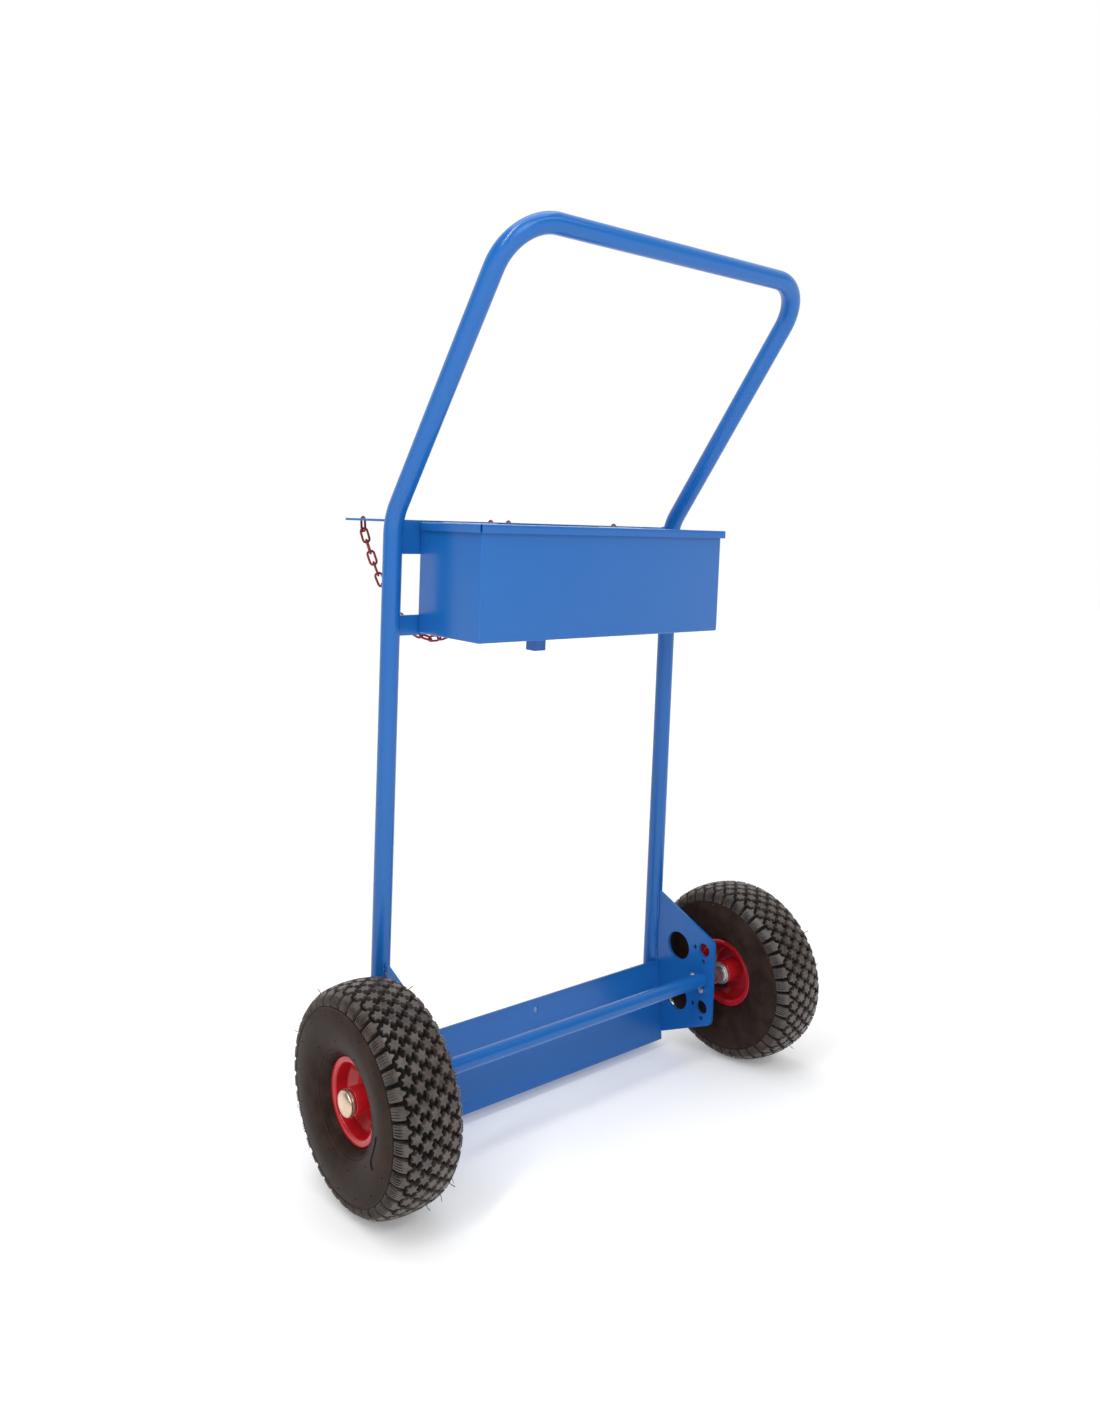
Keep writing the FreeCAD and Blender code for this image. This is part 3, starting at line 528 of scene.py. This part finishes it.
def blockCentres(columns):
    # every other column is turned by half a pitch
    pitch = 2 * math.pi * tyre["crownR"] / tyre["count"]
    k, c = np.meshgrid(np.arange(tyre["count"]), np.arange(len(columns)))
    return np.stack([(k + 0.5 * (c % 2)) * pitch, np.array(columns)[c], 0.0 * k], -1).reshape(-1, 3), pitch


def starBlocks(side):
    # outline whose radius swings between tip and valley, on three levels from root to an eased top edge
    n = stars["points"] * 2
    reach = np.where(np.arange(n) % 2 == 0, stars["tip"], stars["valley"])[:, None]
    flat = circle(1.0, n) * reach
    base = -tyre["deep"] - stars["root"]
    levels = [(stars["draft"], base), (1.0, -stars["edge"]), (stars["inset"], 0.0)]
    ring = np.stack([np.concatenate([flat * k, np.full((n, 1), h)], 1) for k, h in levels])
    centres = blockCentres(stars["columns"])[0]
    return many(onTyre(centres[:, None, None] + ring, side), 1)


def tieRibs(side):
    # thin strips from each block to its two neighbours in the next column
    centres, pitch = blockCentres(stars["columns"])
    rows = centres.reshape(len(stars["columns"]), tyre["count"], 3)
    start = np.concatenate([rows[:-1], rows[:-1]]).reshape(-1, 3)
    step = rows[1:] - rows[:-1]
    flip = np.where(step[..., :1] > 0, -pitch, pitch) * (1, 0, 0)
    way = np.concatenate([step, step + flip]).reshape(-1, 3)
    across = unit(np.stack([-way[:, 1], way[:, 0], 0 * way[:, 0]], -1)) * ties["wide"] / 2
    low, high = -tyre["deep"] - stars["root"], -ties["drop"]
    t = np.linspace(*ties["span"], ties["steps"])[None, :, None]
    line = start[:, None] + way[:, None] * t
    corners = [(-1, low), (1, low), (1, high), (-1, high)]
    grid = np.stack([line + across[:, None] * k + (0, 0, h) for k, h in corners], 2)
    return many(onTyre(grid, side), 1)


def shoulderBlocks(side, hand):
    # four-cornered section carried down over the shoulder, narrow at the tread and wide at the ring line
    w, half = np.array(shoulder["w"]), np.array(shoulder["half"])
    w = w * ringW / shoulder["ring"]
    low = -grooveDepth(w) - shoulder["root"]
    top = np.where(np.arange(len(w)) == len(w) - 1, -shoulder["sink"], 0.0)
    corners = [(-shoulder["draft"], low), (-1, top), (1, top), (shoulder["draft"], low)]
    ring = np.stack([np.stack([half * k, w * hand, h], -1) for k, h in corners], 1)
    centres, pitch = blockCentres([0.0])
    return many(onTyre((centres + (pitch / 2, 0, 0))[:, None, None] + ring, side), 1)


def shoulderGrips(side, hand):
    # fine ribs standing on the lower half of each shoulder block
    w = np.array(grips["w"]) * ringW / shoulder["ring"]
    lift = grips["height"] * np.array(grips["fade"])
    low = np.full(len(w), -grips["root"])
    corners = [(-grips["draft"], low), (-1, lift), (1, lift), (grips["draft"], low)]
    ring = np.stack([np.stack([grips["half"] * k + 0 * w, w * hand, h], -1) for k, h in corners], 1)
    middle, pitch = blockCentres([0.0])
    centres = np.concatenate([middle + (pitch / 2 + o, 0, 0) for o in grips["offsets"]])
    return many(onTyre(centres[:, None, None] + ring, side), 1)


def mouldHairs(side):
    # thin vents left by the mould: each stands out along the normal and bends over with the square of its length
    draw = np.random.default_rng(hairs["seed"] + (side > 0))
    n = hairs["number"]
    foot = np.stack([np.radians(draw.uniform(*hairs["span"], n)) * tyre["crownR"],
                     draw.choice([-1, 1], n) * draw.uniform(*hairs["across"], n), np.zeros(n)], -1)
    tall = draw.uniform(*hairs["long"], n)[:, None]
    bow = draw.uniform(-hairs["bow"], hairs["bow"], (n, 2))[:, None]
    t = np.linspace(0, 1, hairs["steps"])[None, :]
    line = np.concatenate([bow * (t ** 2)[..., None], (tall * t - hairs["root"])[..., None]], -1) + foot[:, None]
    ring = np.concatenate([circle(hairs["r"], hairs["sides"]), np.zeros((hairs["sides"], 1))], 1)
    return many(onTyre(line[:, :, None] + ring, side), 1)


def wallNubs(side):
    # stubs of trimmed vents, evenly round each side wall on two rings
    spots = [(2 * math.pi * tyre["crownR"] * (i + nubs["start"]) / n, hand * float(wallW(r)), 0)
             for r, n in nubs["rings"] for i in range(n) for hand in (-1, 1)]
    flat = circle(nubs["r"], nubs["sides"])
    ring = np.stack([np.concatenate([flat * k, np.full((nubs["sides"], 1), h)], 1) for k, h in nubs["levels"]])
    return many(onTyre(np.array(spots)[:, None, None] + ring, side), 0)


def flashThread(side):
    # a thin round thread lying on the outer side wall along the curve through its spots
    spot = smoothLine(flash["spots"], flash["steps"])
    on = np.stack([np.radians(spot[:, 1]) * tyre["crownR"], wallW(spot[:, 0]), np.full(len(spot), flash["lift"])], -1)
    ring = circle(flash["r"], flash["sides"])
    return shell(carry(onTyre(on, side), ring, np.array([1.0, 0, 0])), caps=True, mat=2)


def makeTyre(name, side, body):
    # side wall, block and groove rubber are finishes 0, 1 and 2, the groove rubber darkened with painted shade
    # the casing's faces come first, and those within the tread take the groove rubber, whose near black is painted
    # shade in the grooves
    points, faces, onTread = casing(side)
    blocks = [starBlocks(side), tieRibs(side), mouldHairs(side), wallNubs(side)] + [flashThread(side)] * (side < 0)
    blocks += [make(side, hand) for make in (shoulderBlocks, shoulderGrips) for hand in (-1, 1)]
    obj = makePiece("tyre" + name, [(points, faces, 0)] + blocks, body,
                    [sideRubber, treadRubber, grooveShadeRubber], ["tyre_" + name.lower()])
    marks = np.zeros(len(obj.data.polygons), np.int32)
    obj.data.polygons.foreach_get("material_index", marks)
    # painted shade: the casing faces within the tread, the groove floor, take the darker groove rubber
    marks[:len(onTread)] = onTread * 2
    obj.data.polygons.foreach_set("material_index", marks)


# wheel: two pressed dishes with a rolled flange, the hub tube through them and the valve
rim = {"line": [(1.3, 16.0), (1.3, 33.6), (11.4, 42.75), (28.75, 42.75), (28.75, 49.0)], "bends": [5.0, 6.0, 3.0],
       "bendSteps": 9, "tipSteps": 5, "sheet": 2.4, "around": 96, "sharp": 40}
hub = {"half": 33.0, "r": 16.0, "bore": 12.6, "round": 1.2}
valve = {"r": 36.0, "turn": 32.0, "line": [(-3.0, 3.2), (-3.0, 5.4), (-5.0, 5.2), (-9.0, 4.0), (-12.0, 3.5),
                                           (-26.0, 3.4), (-26.0, 4.1), (-27.0, 4.3), (-34.6, 4.3), (-36.0, 3.4),
                                           (-36.0, 0.4)],
         "grips": 12, "grip": 0.06, "gripAt": -27.0, "gripR": 1.0, "around": 48}


def makeRim(name, side, body):
    # both dishes are one bent line turned round the axle and mirrored, and the hub tube's edges are eased by two facets
    # the cap of the valve swells and shrinks with the cosine of the angle, once per grip
    shells = []
    for hand in (1, -1):
        line = roundedPath(rim["line"], rim["bends"], rim["bendSteps"]) * (hand, 1)
        ring = sheetOutline(line, rim["sheet"], rim["tipSteps"])
        shells.append(shell(turned(ring, side, axle["track"], rim["around"]), wrapRows=True))
    e, h = hub["round"], hub["half"]
    ring = [(-h, hub["bore"]), (-h, hub["r"] - e), (-h + e / 3, hub["r"] - e / 3), (-h + e, hub["r"])]
    ring += [(-x, r) for x, r in reversed(ring)]
    shells.append(shell(turned(ring, side, axle["track"], rim["around"]), wrapRows=True))
    low = name.lower()
    makePiece("rim" + name, shells, body, [enamelRed],
              ["rim_outer_" + low, "rim_inner_" + low, "hub_tube_" + low], rim["sharp"])
    line = np.array(valve["line"])
    way = math.radians(valve["turn"])
    spot = (axle["y"] + valve["r"] * math.sin(way), axle["z"] - valve["r"] * math.cos(way))
    a = 2 * math.pi * np.arange(valve["around"]) / valve["around"]
    ribbed = (line[:, :1] <= valve["gripAt"]) * (line[:, 1:] > valve["gripR"])
    swell = 1 + valve["grip"] * np.cos(valve["grips"] * a)[None] * ribbed
    grid = turned(line, side, axle["track"], valve["around"], spot, swell)
    makePiece("valve" + name, [shell(grid, caps=True)], body, [butyl], ["valve_stem_" + low])


for name, side in (("Left", -1), ("Right", 1)):
    makeTyre(name, side, "wheel_" + name.lower())
    makeRim(name, side, "wheel_" + name.lower())
print("wheels made")

# axle: painted bar between the plates, bare steel ends, spacers, washers and pressed caps
bar = {"half": 257.5, "r": 10.0, "core": 0.5, "ends": 370.4, "round": 0.8, "around": 64, "endAround": 48}
spacer = {"line": [(264.15, 10.1), (264.15, 11.4), (264.7, 12.0), (292.6, 12.0), (293.5, 12.9), (293.5, 15.4),
                   (294.1, 16.0), (296.9, 16.0), (297.5, 15.4), (297.5, 10.1)]}
washer = {"line": [(364.5, 10.1), (364.5, 14.5), (365.0, 15.0), (366.0, 15.0), (366.5, 14.5), (366.5, 10.1)]}
cap = {"line": [(366.6, 10.1), (366.6, 15.4), (367.0, 16.1), (367.8, 16.2), (368.4, 15.8), (369.2, 15.7),
                (370.6, 15.5)], "high": 375.6, "edge": 15.5, "start": 370.6, "tip": 0.4, "steps": 9, "sharp": 50}


def makeAxle():
    # turned lines of (x, r); the dome of a cap is a quarter of an ellipse
    e, h, r, core = bar["round"], bar["half"], bar["r"], bar["core"]
    line = [(-h, core), (-h, r), (h, r), (h, core)]
    grid = turned(line, count=bar["around"])
    makePiece("axleBar", [shell(grid, caps=True)], "frame", [powderBlue], ["axle"])
    ends = []
    for side in (-1, 1):
        line = [(h, core), (h, r), (bar["ends"] - e, r), (bar["ends"], r - e), (bar["ends"], core)]
        ends.append(shell(turned(line, side, count=bar["endAround"]), caps=True))
    makePiece("axleEnds", ends, "frame", [drawnSteel], ["axle"])
    t = np.linspace(0, 1, cap["steps"])[1:]
    rise = cap["high"] - cap["start"]
    dome = np.stack([cap["start"] + rise * np.sin(t * math.pi / 2),
                     cap["edge"] * np.cos(t * math.pi / 2) + cap["tip"] * t], -1)
    capLine = np.concatenate([cap["line"], dome])
    for name, side in (("Left", -1), ("Right", 1)):
        low = name.lower()
        makePiece("spacer" + name, [shell(turned(spacer["line"], side), wrapRows=True)], "frame",
                  [zincPlate], ["spacer_" + low])
        makePiece("washer" + name, [shell(turned(washer["line"], side), wrapRows=True)], "frame",
                  [zincPlate], ["axle_washer_" + low])
        # the caps take the nickel whose warm tint is a painted reflection
        makePiece("axleCap" + name, [shell(turned(capLine, side), caps=True)], "frame",
                  [capNickelWarmReflection], ["axle_cap_" + low], cap["sharp"])


makeAxle()
print("axle made")

# chains: closed links of round wire on a catenary between two slots, each end link held in its slot
links = {"wire": 1.6, "inner": 16.4, "pitch": 16.0, "wide": 12.4, "count": 25, "curve": 55.34886, "play": 0.4,
         "twist": 40.0, "twistPower": 0.25, "turns": 8, "sides": 12, "sharp": 60}
slots = {"outer": 238.0, "inner": 17.0, "v": 104.45, "plateTop": 823.0, "poke": 3.6}


def linkLoop():
    # racetrack: two half circles joined by straight sides, as (along, across)
    r = links["wide"] / 2 - links["wire"]
    straight = links["inner"] / 2 + links["wire"] - r
    a = np.linspace(-math.pi / 2, math.pi / 2, links["turns"] + 1)
    end = np.stack([straight + r * np.cos(a), r * np.sin(a)], -1)
    return np.concatenate([end, -end])


def linkShell(centre, along, flat):
    # a ring of wire carried round the racetrack in the plane square to flat
    along = unit(np.asarray(along, float))
    flat = unit(flat - along * (flat @ along))
    loop = linkLoop()
    path = centre + loop[:, :1] * along + loop[:, 1:] * np.cross(flat, along)
    return shell(carry(path, circle(links["wire"], links["sides"]), flat, True), wrapRows=True)


def makeChains():
    # link i lies between two points of the catenary; its plane alternates by a right angle
    # and twists by a power of the sine of its place along the chain
    mid = stand(np.array([0, slots["v"], slots["plateTop"]]))
    hang = mid[2] + slots["poke"] - links["wire"] * 2 - links["inner"] / 2
    top = hang - links["inner"] / 2 + (links["inner"] - links["pitch"]) / 2 + links["play"]
    s = (np.arange(links["count"] + 1) - links["count"] / 2) * links["pitch"] / links["curve"]
    drop = links["curve"] * (np.cosh(np.arcsinh(s)) - np.cosh(np.arcsinh(s[0])))
    upward, sideways = np.array([0, 0, 1.0]), np.array([1.0, 0, 0])
    ends = []
    for name, hand in (("Left", -1), ("Right", 1)):
        middle = hand * (slots["outer"] + slots["inner"]) / 2
        spots = np.stack([middle + links["curve"] * np.arcsinh(s), mid[1] + 0 * s, top + drop], -1)
        made = []
        for i in range(links["count"]):
            along = unit(spots[i + 1] - spots[i])
            forward = np.array([0, 1.0, 0])
            turn = math.radians(links["twist"]) * math.sin(math.pi * (i + 0.5) / links["count"]) ** links["twistPower"]
            turn += math.pi / 2 * (i % 2)
            flat = forward * math.cos(turn) + np.cross(along, forward) * math.sin(turn)
            made.append(linkShell((spots[i] + spots[i + 1]) / 2, along, flat))
        low = "chain_" + name.lower()
        makePiece("chain" + name, made, low, [lacquerRed], [low], links["sharp"])
        ends += [linkShell(np.array([hand * slots[k], mid[1], hang]), upward, sideways) for k in ("outer", "inner")]
    makePiece("chainEndLinks", ends, "frame", [lacquerRed], ["chain_end_links"], links["sharp"])


makeChains()
print("chains made")

# tool box: folded sheet, open at the top, and a lid with three folded lips that meet in open corner seams
toolBox = {"half": 217.5, "back": 131.0, "front": 2.55, "low": 677.6, "rim": 819.7, "sheet": 1.2, "corner": 2.6,
           "least": 0.4, "edgeIn": 0.3, "edgeDown": 0.4, "steps": 6}
lid = {"half": 222.5, "back": 136.0, "front": 11.3, "top": 821.0, "lip": 10.0, "sheet": 1.2, "bend": 2.2, "seam": 0.5,
       "gap": 0.01, "slack": 0.02, "bendSteps": 7, "tipSteps": 3}


def roundedBox(inset, height):
    # a rectangle with rounded corners, drawn in by the inset, at one height
    r = max(toolBox["corner"] - inset, toolBox["least"])
    a = np.linspace(0, math.pi / 2, toolBox["steps"])
    x, v0, v1 = toolBox["half"] - inset - r, -toolBox["back"] + inset + r, -toolBox["front"] - inset - r
    corners = [(x, v1, 0), (-x, v1, 1), (-x, v0, 2), (x, v0, 3)]
    ring = [np.stack([cx + r * np.cos(a + k * math.pi / 2), cv + r * np.sin(a + k * math.pi / 2), height + 0 * a], -1)
            for cx, cv, k in corners]
    return np.concatenate(ring)


def makeToolBox():
    # rounded rectangles stacked up the outside, over the eased rim and down the inside
    r, low, t, top = toolBox["corner"], toolBox["low"], toolBox["sheet"], toolBox["rim"]
    a = np.linspace(0, math.pi / 2, toolBox["steps"])
    outer = [(r - r * math.sin(k), low + r - r * math.cos(k)) for k in a]
    inner = [(r - (r - t) * math.sin(k), low + r - (r - t) * math.cos(k)) for k in a]
    e, down = toolBox["edgeIn"], top - toolBox["edgeDown"]
    rim = [(0.0, down), (e, top), (t - e, top), (t, down)]
    rows = np.stack([stand(roundedBox(d, h)) for d, h in outer + rim + inner[::-1]])
    makePiece("toolBoxShell", [shell(rows, caps=True)], "frame", [powderBlue], ["tool_box"])


def makeLid():
    # the middle line of a sheet bent down once, thickened and drawn out straight: one for the back and one for each end
    t, top, e = lid["sheet"], lid["top"], lid["bend"]
    mid, low, steps = top - t / 2, top - lid["lip"], lid["bendSteps"]
    edge = t / 2 - lid["back"]
    back = roundedPath([(-lid["front"], mid), (edge, mid), (edge, low)], [e - t / 2], steps)
    ring = sheetOutline(back, t, lid["tipSteps"])
    ends = np.array([-1, 1]) * (lid["half"] - e)
    rows = np.stack([np.concatenate([np.full((len(ring), 1), x), ring], 1) for x in ends])
    shells = [shell(stand(rows), caps=True)]
    for side in (-1, 1):
        x, edge = lid["half"], lid["half"] - t / 2
        line = roundedPath([(x - e - lid["gap"], mid), (edge, mid), (edge, low)], [e - t / 2 - lid["slack"]], steps)
        ring = sheetOutline(line, t, lid["tipSteps"])
        rows = np.stack([np.stack([side * ring[:, 0], np.full(len(ring), v), ring[:, 1]], -1)
                         for v in (e + lid["seam"] - lid["back"], -lid["front"])])
        shells.append(shell(stand(rows), caps=True))
    makePiece("toolBoxLid", shells, "lid", [powderBlue], ["lid"])


makeToolBox()
makeLid()
print("tool box made")

# fasteners: hexagon nuts and bolt heads with turned corners, and domed screw heads
earBolts = {"spots": [(-88.5, 144.6), (-105.5, 127.6)], "inner": 254.95, "outer": 264.1, "af": 8.0, "nut": 4.0,
            "head": 3.5, "shank": 2.5, "tip": 249.7, "point": [(0.0, 0.4), (0.3, 0.8), (0.9, 1.0)], "sink": 0.5}
boxScrews = {"spots": [(x, u) for u in (688.0, 795.0) for x in (-150.0, 150.0)], "front": 2.55, "nut": 5.0, "af": 10.0,
             "wall": -3.8, "headR": 5.5, "head": 3.0, "shank": 3.0, "domeFrom": 0.03, "domeSteps": 6,
             "point": (0.6, 0.8)}
# end rows of a nut or bolt head as (share of its height, share of the width across flats)
hexRows = {"around": 36, "rows": [(0.0, 0.475), (0.09, 0.53), (0.2, 1.0), (0.8, 1.0), (0.91, 0.53), (1.0, 0.475)]}


def hexShell(base, axis, ref, af, tall):
    # six-sided bar whose end corners are turned down to a cone: radius is the least of hexagon and cone
    a = 2 * math.pi * np.arange(hexRows["around"]) / hexRows["around"]
    six = af / 2 / np.cos((a + math.pi / 6) % (math.pi / 3) - math.pi / 6)
    side = unit(np.cross(axis, ref))
    up = np.cross(side, axis)
    spoke = np.cos(a)[:, None] * side + np.sin(a)[:, None] * up
    grid = [base + axis * tall * h + np.minimum(six, af * r)[:, None] * spoke for h, r in hexRows["rows"]]
    return shell(np.stack(grid), caps=True)


def pinShell(base, axis, ref, rows, count=24):
    # a round pin of (height, radius) rows along an axis
    side = unit(np.cross(axis, ref))
    up = np.cross(side, axis)
    ring = circle(1.0, count)
    grid = [base + axis * h + r * (ring[:, :1] * side + ring[:, 1:] * up) for h, r in rows]
    return shell(np.stack(grid), caps=True)


def makeFasteners():
    # bolts and nuts stand along the axle's way at the ears, and along the frame's forward way at the box
    upward = lean(np.array([0, 0, 1.0]))
    forward = lean(np.array([0, 1.0, 0]))
    for name, side in (("Left", -1), ("Right", 1)):
        out = np.array([side, 0, 0.0])
        nuts, bolts = [], []
        for v, u in earBolts["spots"]:
            foot = stand(np.array([0, v, u]))
            af, tall, r, tip = (earBolts[k] for k in ("af", "nut", "shank", "tip"))
            nuts.append(hexShell(foot + out * (earBolts["inner"] - tall), out, upward, af, tall))
            bolts.append(hexShell(foot + out * earBolts["outer"], out, upward, af, earBolts["head"]))
            rows = [(tip + h, r * k) for h, k in earBolts["point"]] + [(earBolts["outer"] + earBolts["sink"], r)]
            bolts.append(pinShell(foot, out, upward, rows))
        low = name.lower()
        makePiece("earNuts" + name, nuts, "frame", [zincPlate], ["ear_nuts_" + low])
        makePiece("earBolts" + name, bolts, "frame", [zincPlate], ["ear_bolts_" + low])
    nuts, screws = [], []
    for x, u in boxScrews["spots"]:
        foot = stand(np.array([x, 0, u]))
        nuts.append(hexShell(foot + forward * boxScrews["front"], forward, upward, boxScrews["af"], boxScrews["nut"]))
        r, h, wall = boxScrews["headR"], boxScrews["head"], boxScrews["wall"]
        t = np.linspace(boxScrews["domeFrom"], 1, boxScrews["domeSteps"])
        dome = [(wall - h * math.cos(k * math.pi / 2), r * math.sin(k * math.pi / 2)) for k in t]
        tip, thin = boxScrews["front"] + boxScrews["nut"], boxScrews["shank"]
        back, share = boxScrews["point"]
        shank = [(wall, thin), (tip - back, thin), (tip, thin * share)]
        screws.append(pinShell(foot, forward, upward, dome + shank))
    makePiece("boxNuts", nuts, "frame", [zincPlate], ["box_nuts"])
    makePiece("boxScrews", screws, "frame", [zincPlate], ["box_screws"])


makeFasteners()
print("fasteners made")

# welds: painted beads laid where the sheet meets the tubes
weld = {"pitch": 2.6, "ripple": 0.16, "wander": 0.35, "wanderWay": (0.4, 0.5, 0.3), "swell": 0.1, "step": 0.65,
        "least": 8, "taper": (1.2, 0.25, 0.5), "sides": 10, "sharp": 60, "seed": 5}
# where the beads run, with the bead radius r: x is across, v is forward and u is up the frame
crossWelds = {"x": 245.2, "v": 3.2, "runs": [(781.5, 818.5), (676.5, 699.5)], "r": 1.9}
plateWelds = {"face": 3.2, "v": -12.6, "runs": [(36, 72), (118, 160), (206, 246)], "r": 1.8}
footWelds = {"up": 17.0, "ring": (13.2, 13.3), "past": 0.5, "steps": 30, "r": 2.0}
shelfWelds = {"arc": 13.0, "u": 822.6, "span": (0.1, 0.05), "steps": 16, "r": 1.6}
postWelds = {"x": 10.6, "v": 3.0, "run": (677, 699), "r": 1.5}


def beadShell(points, r, draw):
    # a round section carried along a line, its radius swelling once per puddle and tapering at both ends
    p = np.asarray(points, float)
    run = np.concatenate([[0], np.cumsum(np.linalg.norm(np.diff(p, axis=0), axis=1))])
    n = max(int(run[-1] / weld["step"]), weld["least"])
    s = np.linspace(0, run[-1], n)
    path = np.stack([np.interp(s, run, p[:, k]) for k in range(3)], -1)
    knots = max(n // weld["least"], 3)
    drift = np.interp(s, np.linspace(0, run[-1], knots), draw.uniform(-1, 1, knots))
    reach, start, power = weld["taper"]
    taper = np.clip(np.minimum(s, run[-1] - s) / (r * reach) + start, 0, 1) ** power
    ripple = weld["ripple"] * np.abs(np.sin(s * math.pi / weld["pitch"]))
    size = r * taper * (1 + ripple + weld["swell"] * drift)
    path = path + weld["wander"] * drift[:, None] * np.array(weld["wanderWay"])
    ring = size[:, None, None] * circle(1.0, weld["sides"])[None]
    way = unit(p[-1] - p[0]) if np.linalg.norm(p[-1] - p[0]) > r else np.array([0, 0, 1.0])
    ref = np.array([0.3, 0.5, 0.8]) if abs(way[0]) > 0.7 else np.array([1.0, 0.2, 0.1])
    return shell(carry(path, ring, ref), caps=True)


def makeWelds():
    # straight beads at crossbars, side plates and post, a ring round each foot and an arc under the retaining plate
    draw = np.random.default_rng(weld["seed"])
    made = []
    for side in (-1, 1):
        for hand in (-1, 1):
            x, v = side * crossWelds["x"], hand * crossWelds["v"]
            for low, high in crossWelds["runs"]:
                made.append(beadShell(stand([(x, v, low), (x, v, high)]), crossWelds["r"], draw))
        for hand in (-1, 1):
            x, v = side * handle["half"] + hand * plateWelds["face"], plateWelds["v"]
            for low, high in plateWelds["runs"]:
                made.append(beadShell(stand([(x, v, low), (x, v, high)]), plateWelds["r"], draw))
        up, past = footWelds["up"], footWelds["past"]
        a = np.linspace(-past, math.pi + past, footWelds["steps"])
        foot = stand(np.array([side * handle["half"], 0, up / math.cos(math.radians(stance["lean"]))]))
        wide, deep = footWelds["ring"]
        ring = np.stack([foot[0] + wide * np.cos(a), foot[1] + deep * np.sin(a), up + 0 * a], -1)
        made.append(beadShell(ring[::side], footWelds["r"], draw))
        first, last = shelfWelds["span"]
        a = np.linspace(first, math.pi / 2 - last, shelfWelds["steps"])
        arc, u = shelfWelds["arc"], shelfWelds["u"]
        line = np.stack([side * (handle["half"] - arc * np.sin(a)), arc * np.cos(a), u + 0 * a], -1)
        made.append(beadShell(stand(line), shelfWelds["r"], draw))
        x, v = side * postWelds["x"], postWelds["v"]
        made.append(beadShell(stand([(x, v, u) for u in postWelds["run"]]), postWelds["r"], draw))
    makePiece("frameWelds", made, "frame", [powderBlue], sharp=weld["sharp"])


makeWelds()
print("welds made")
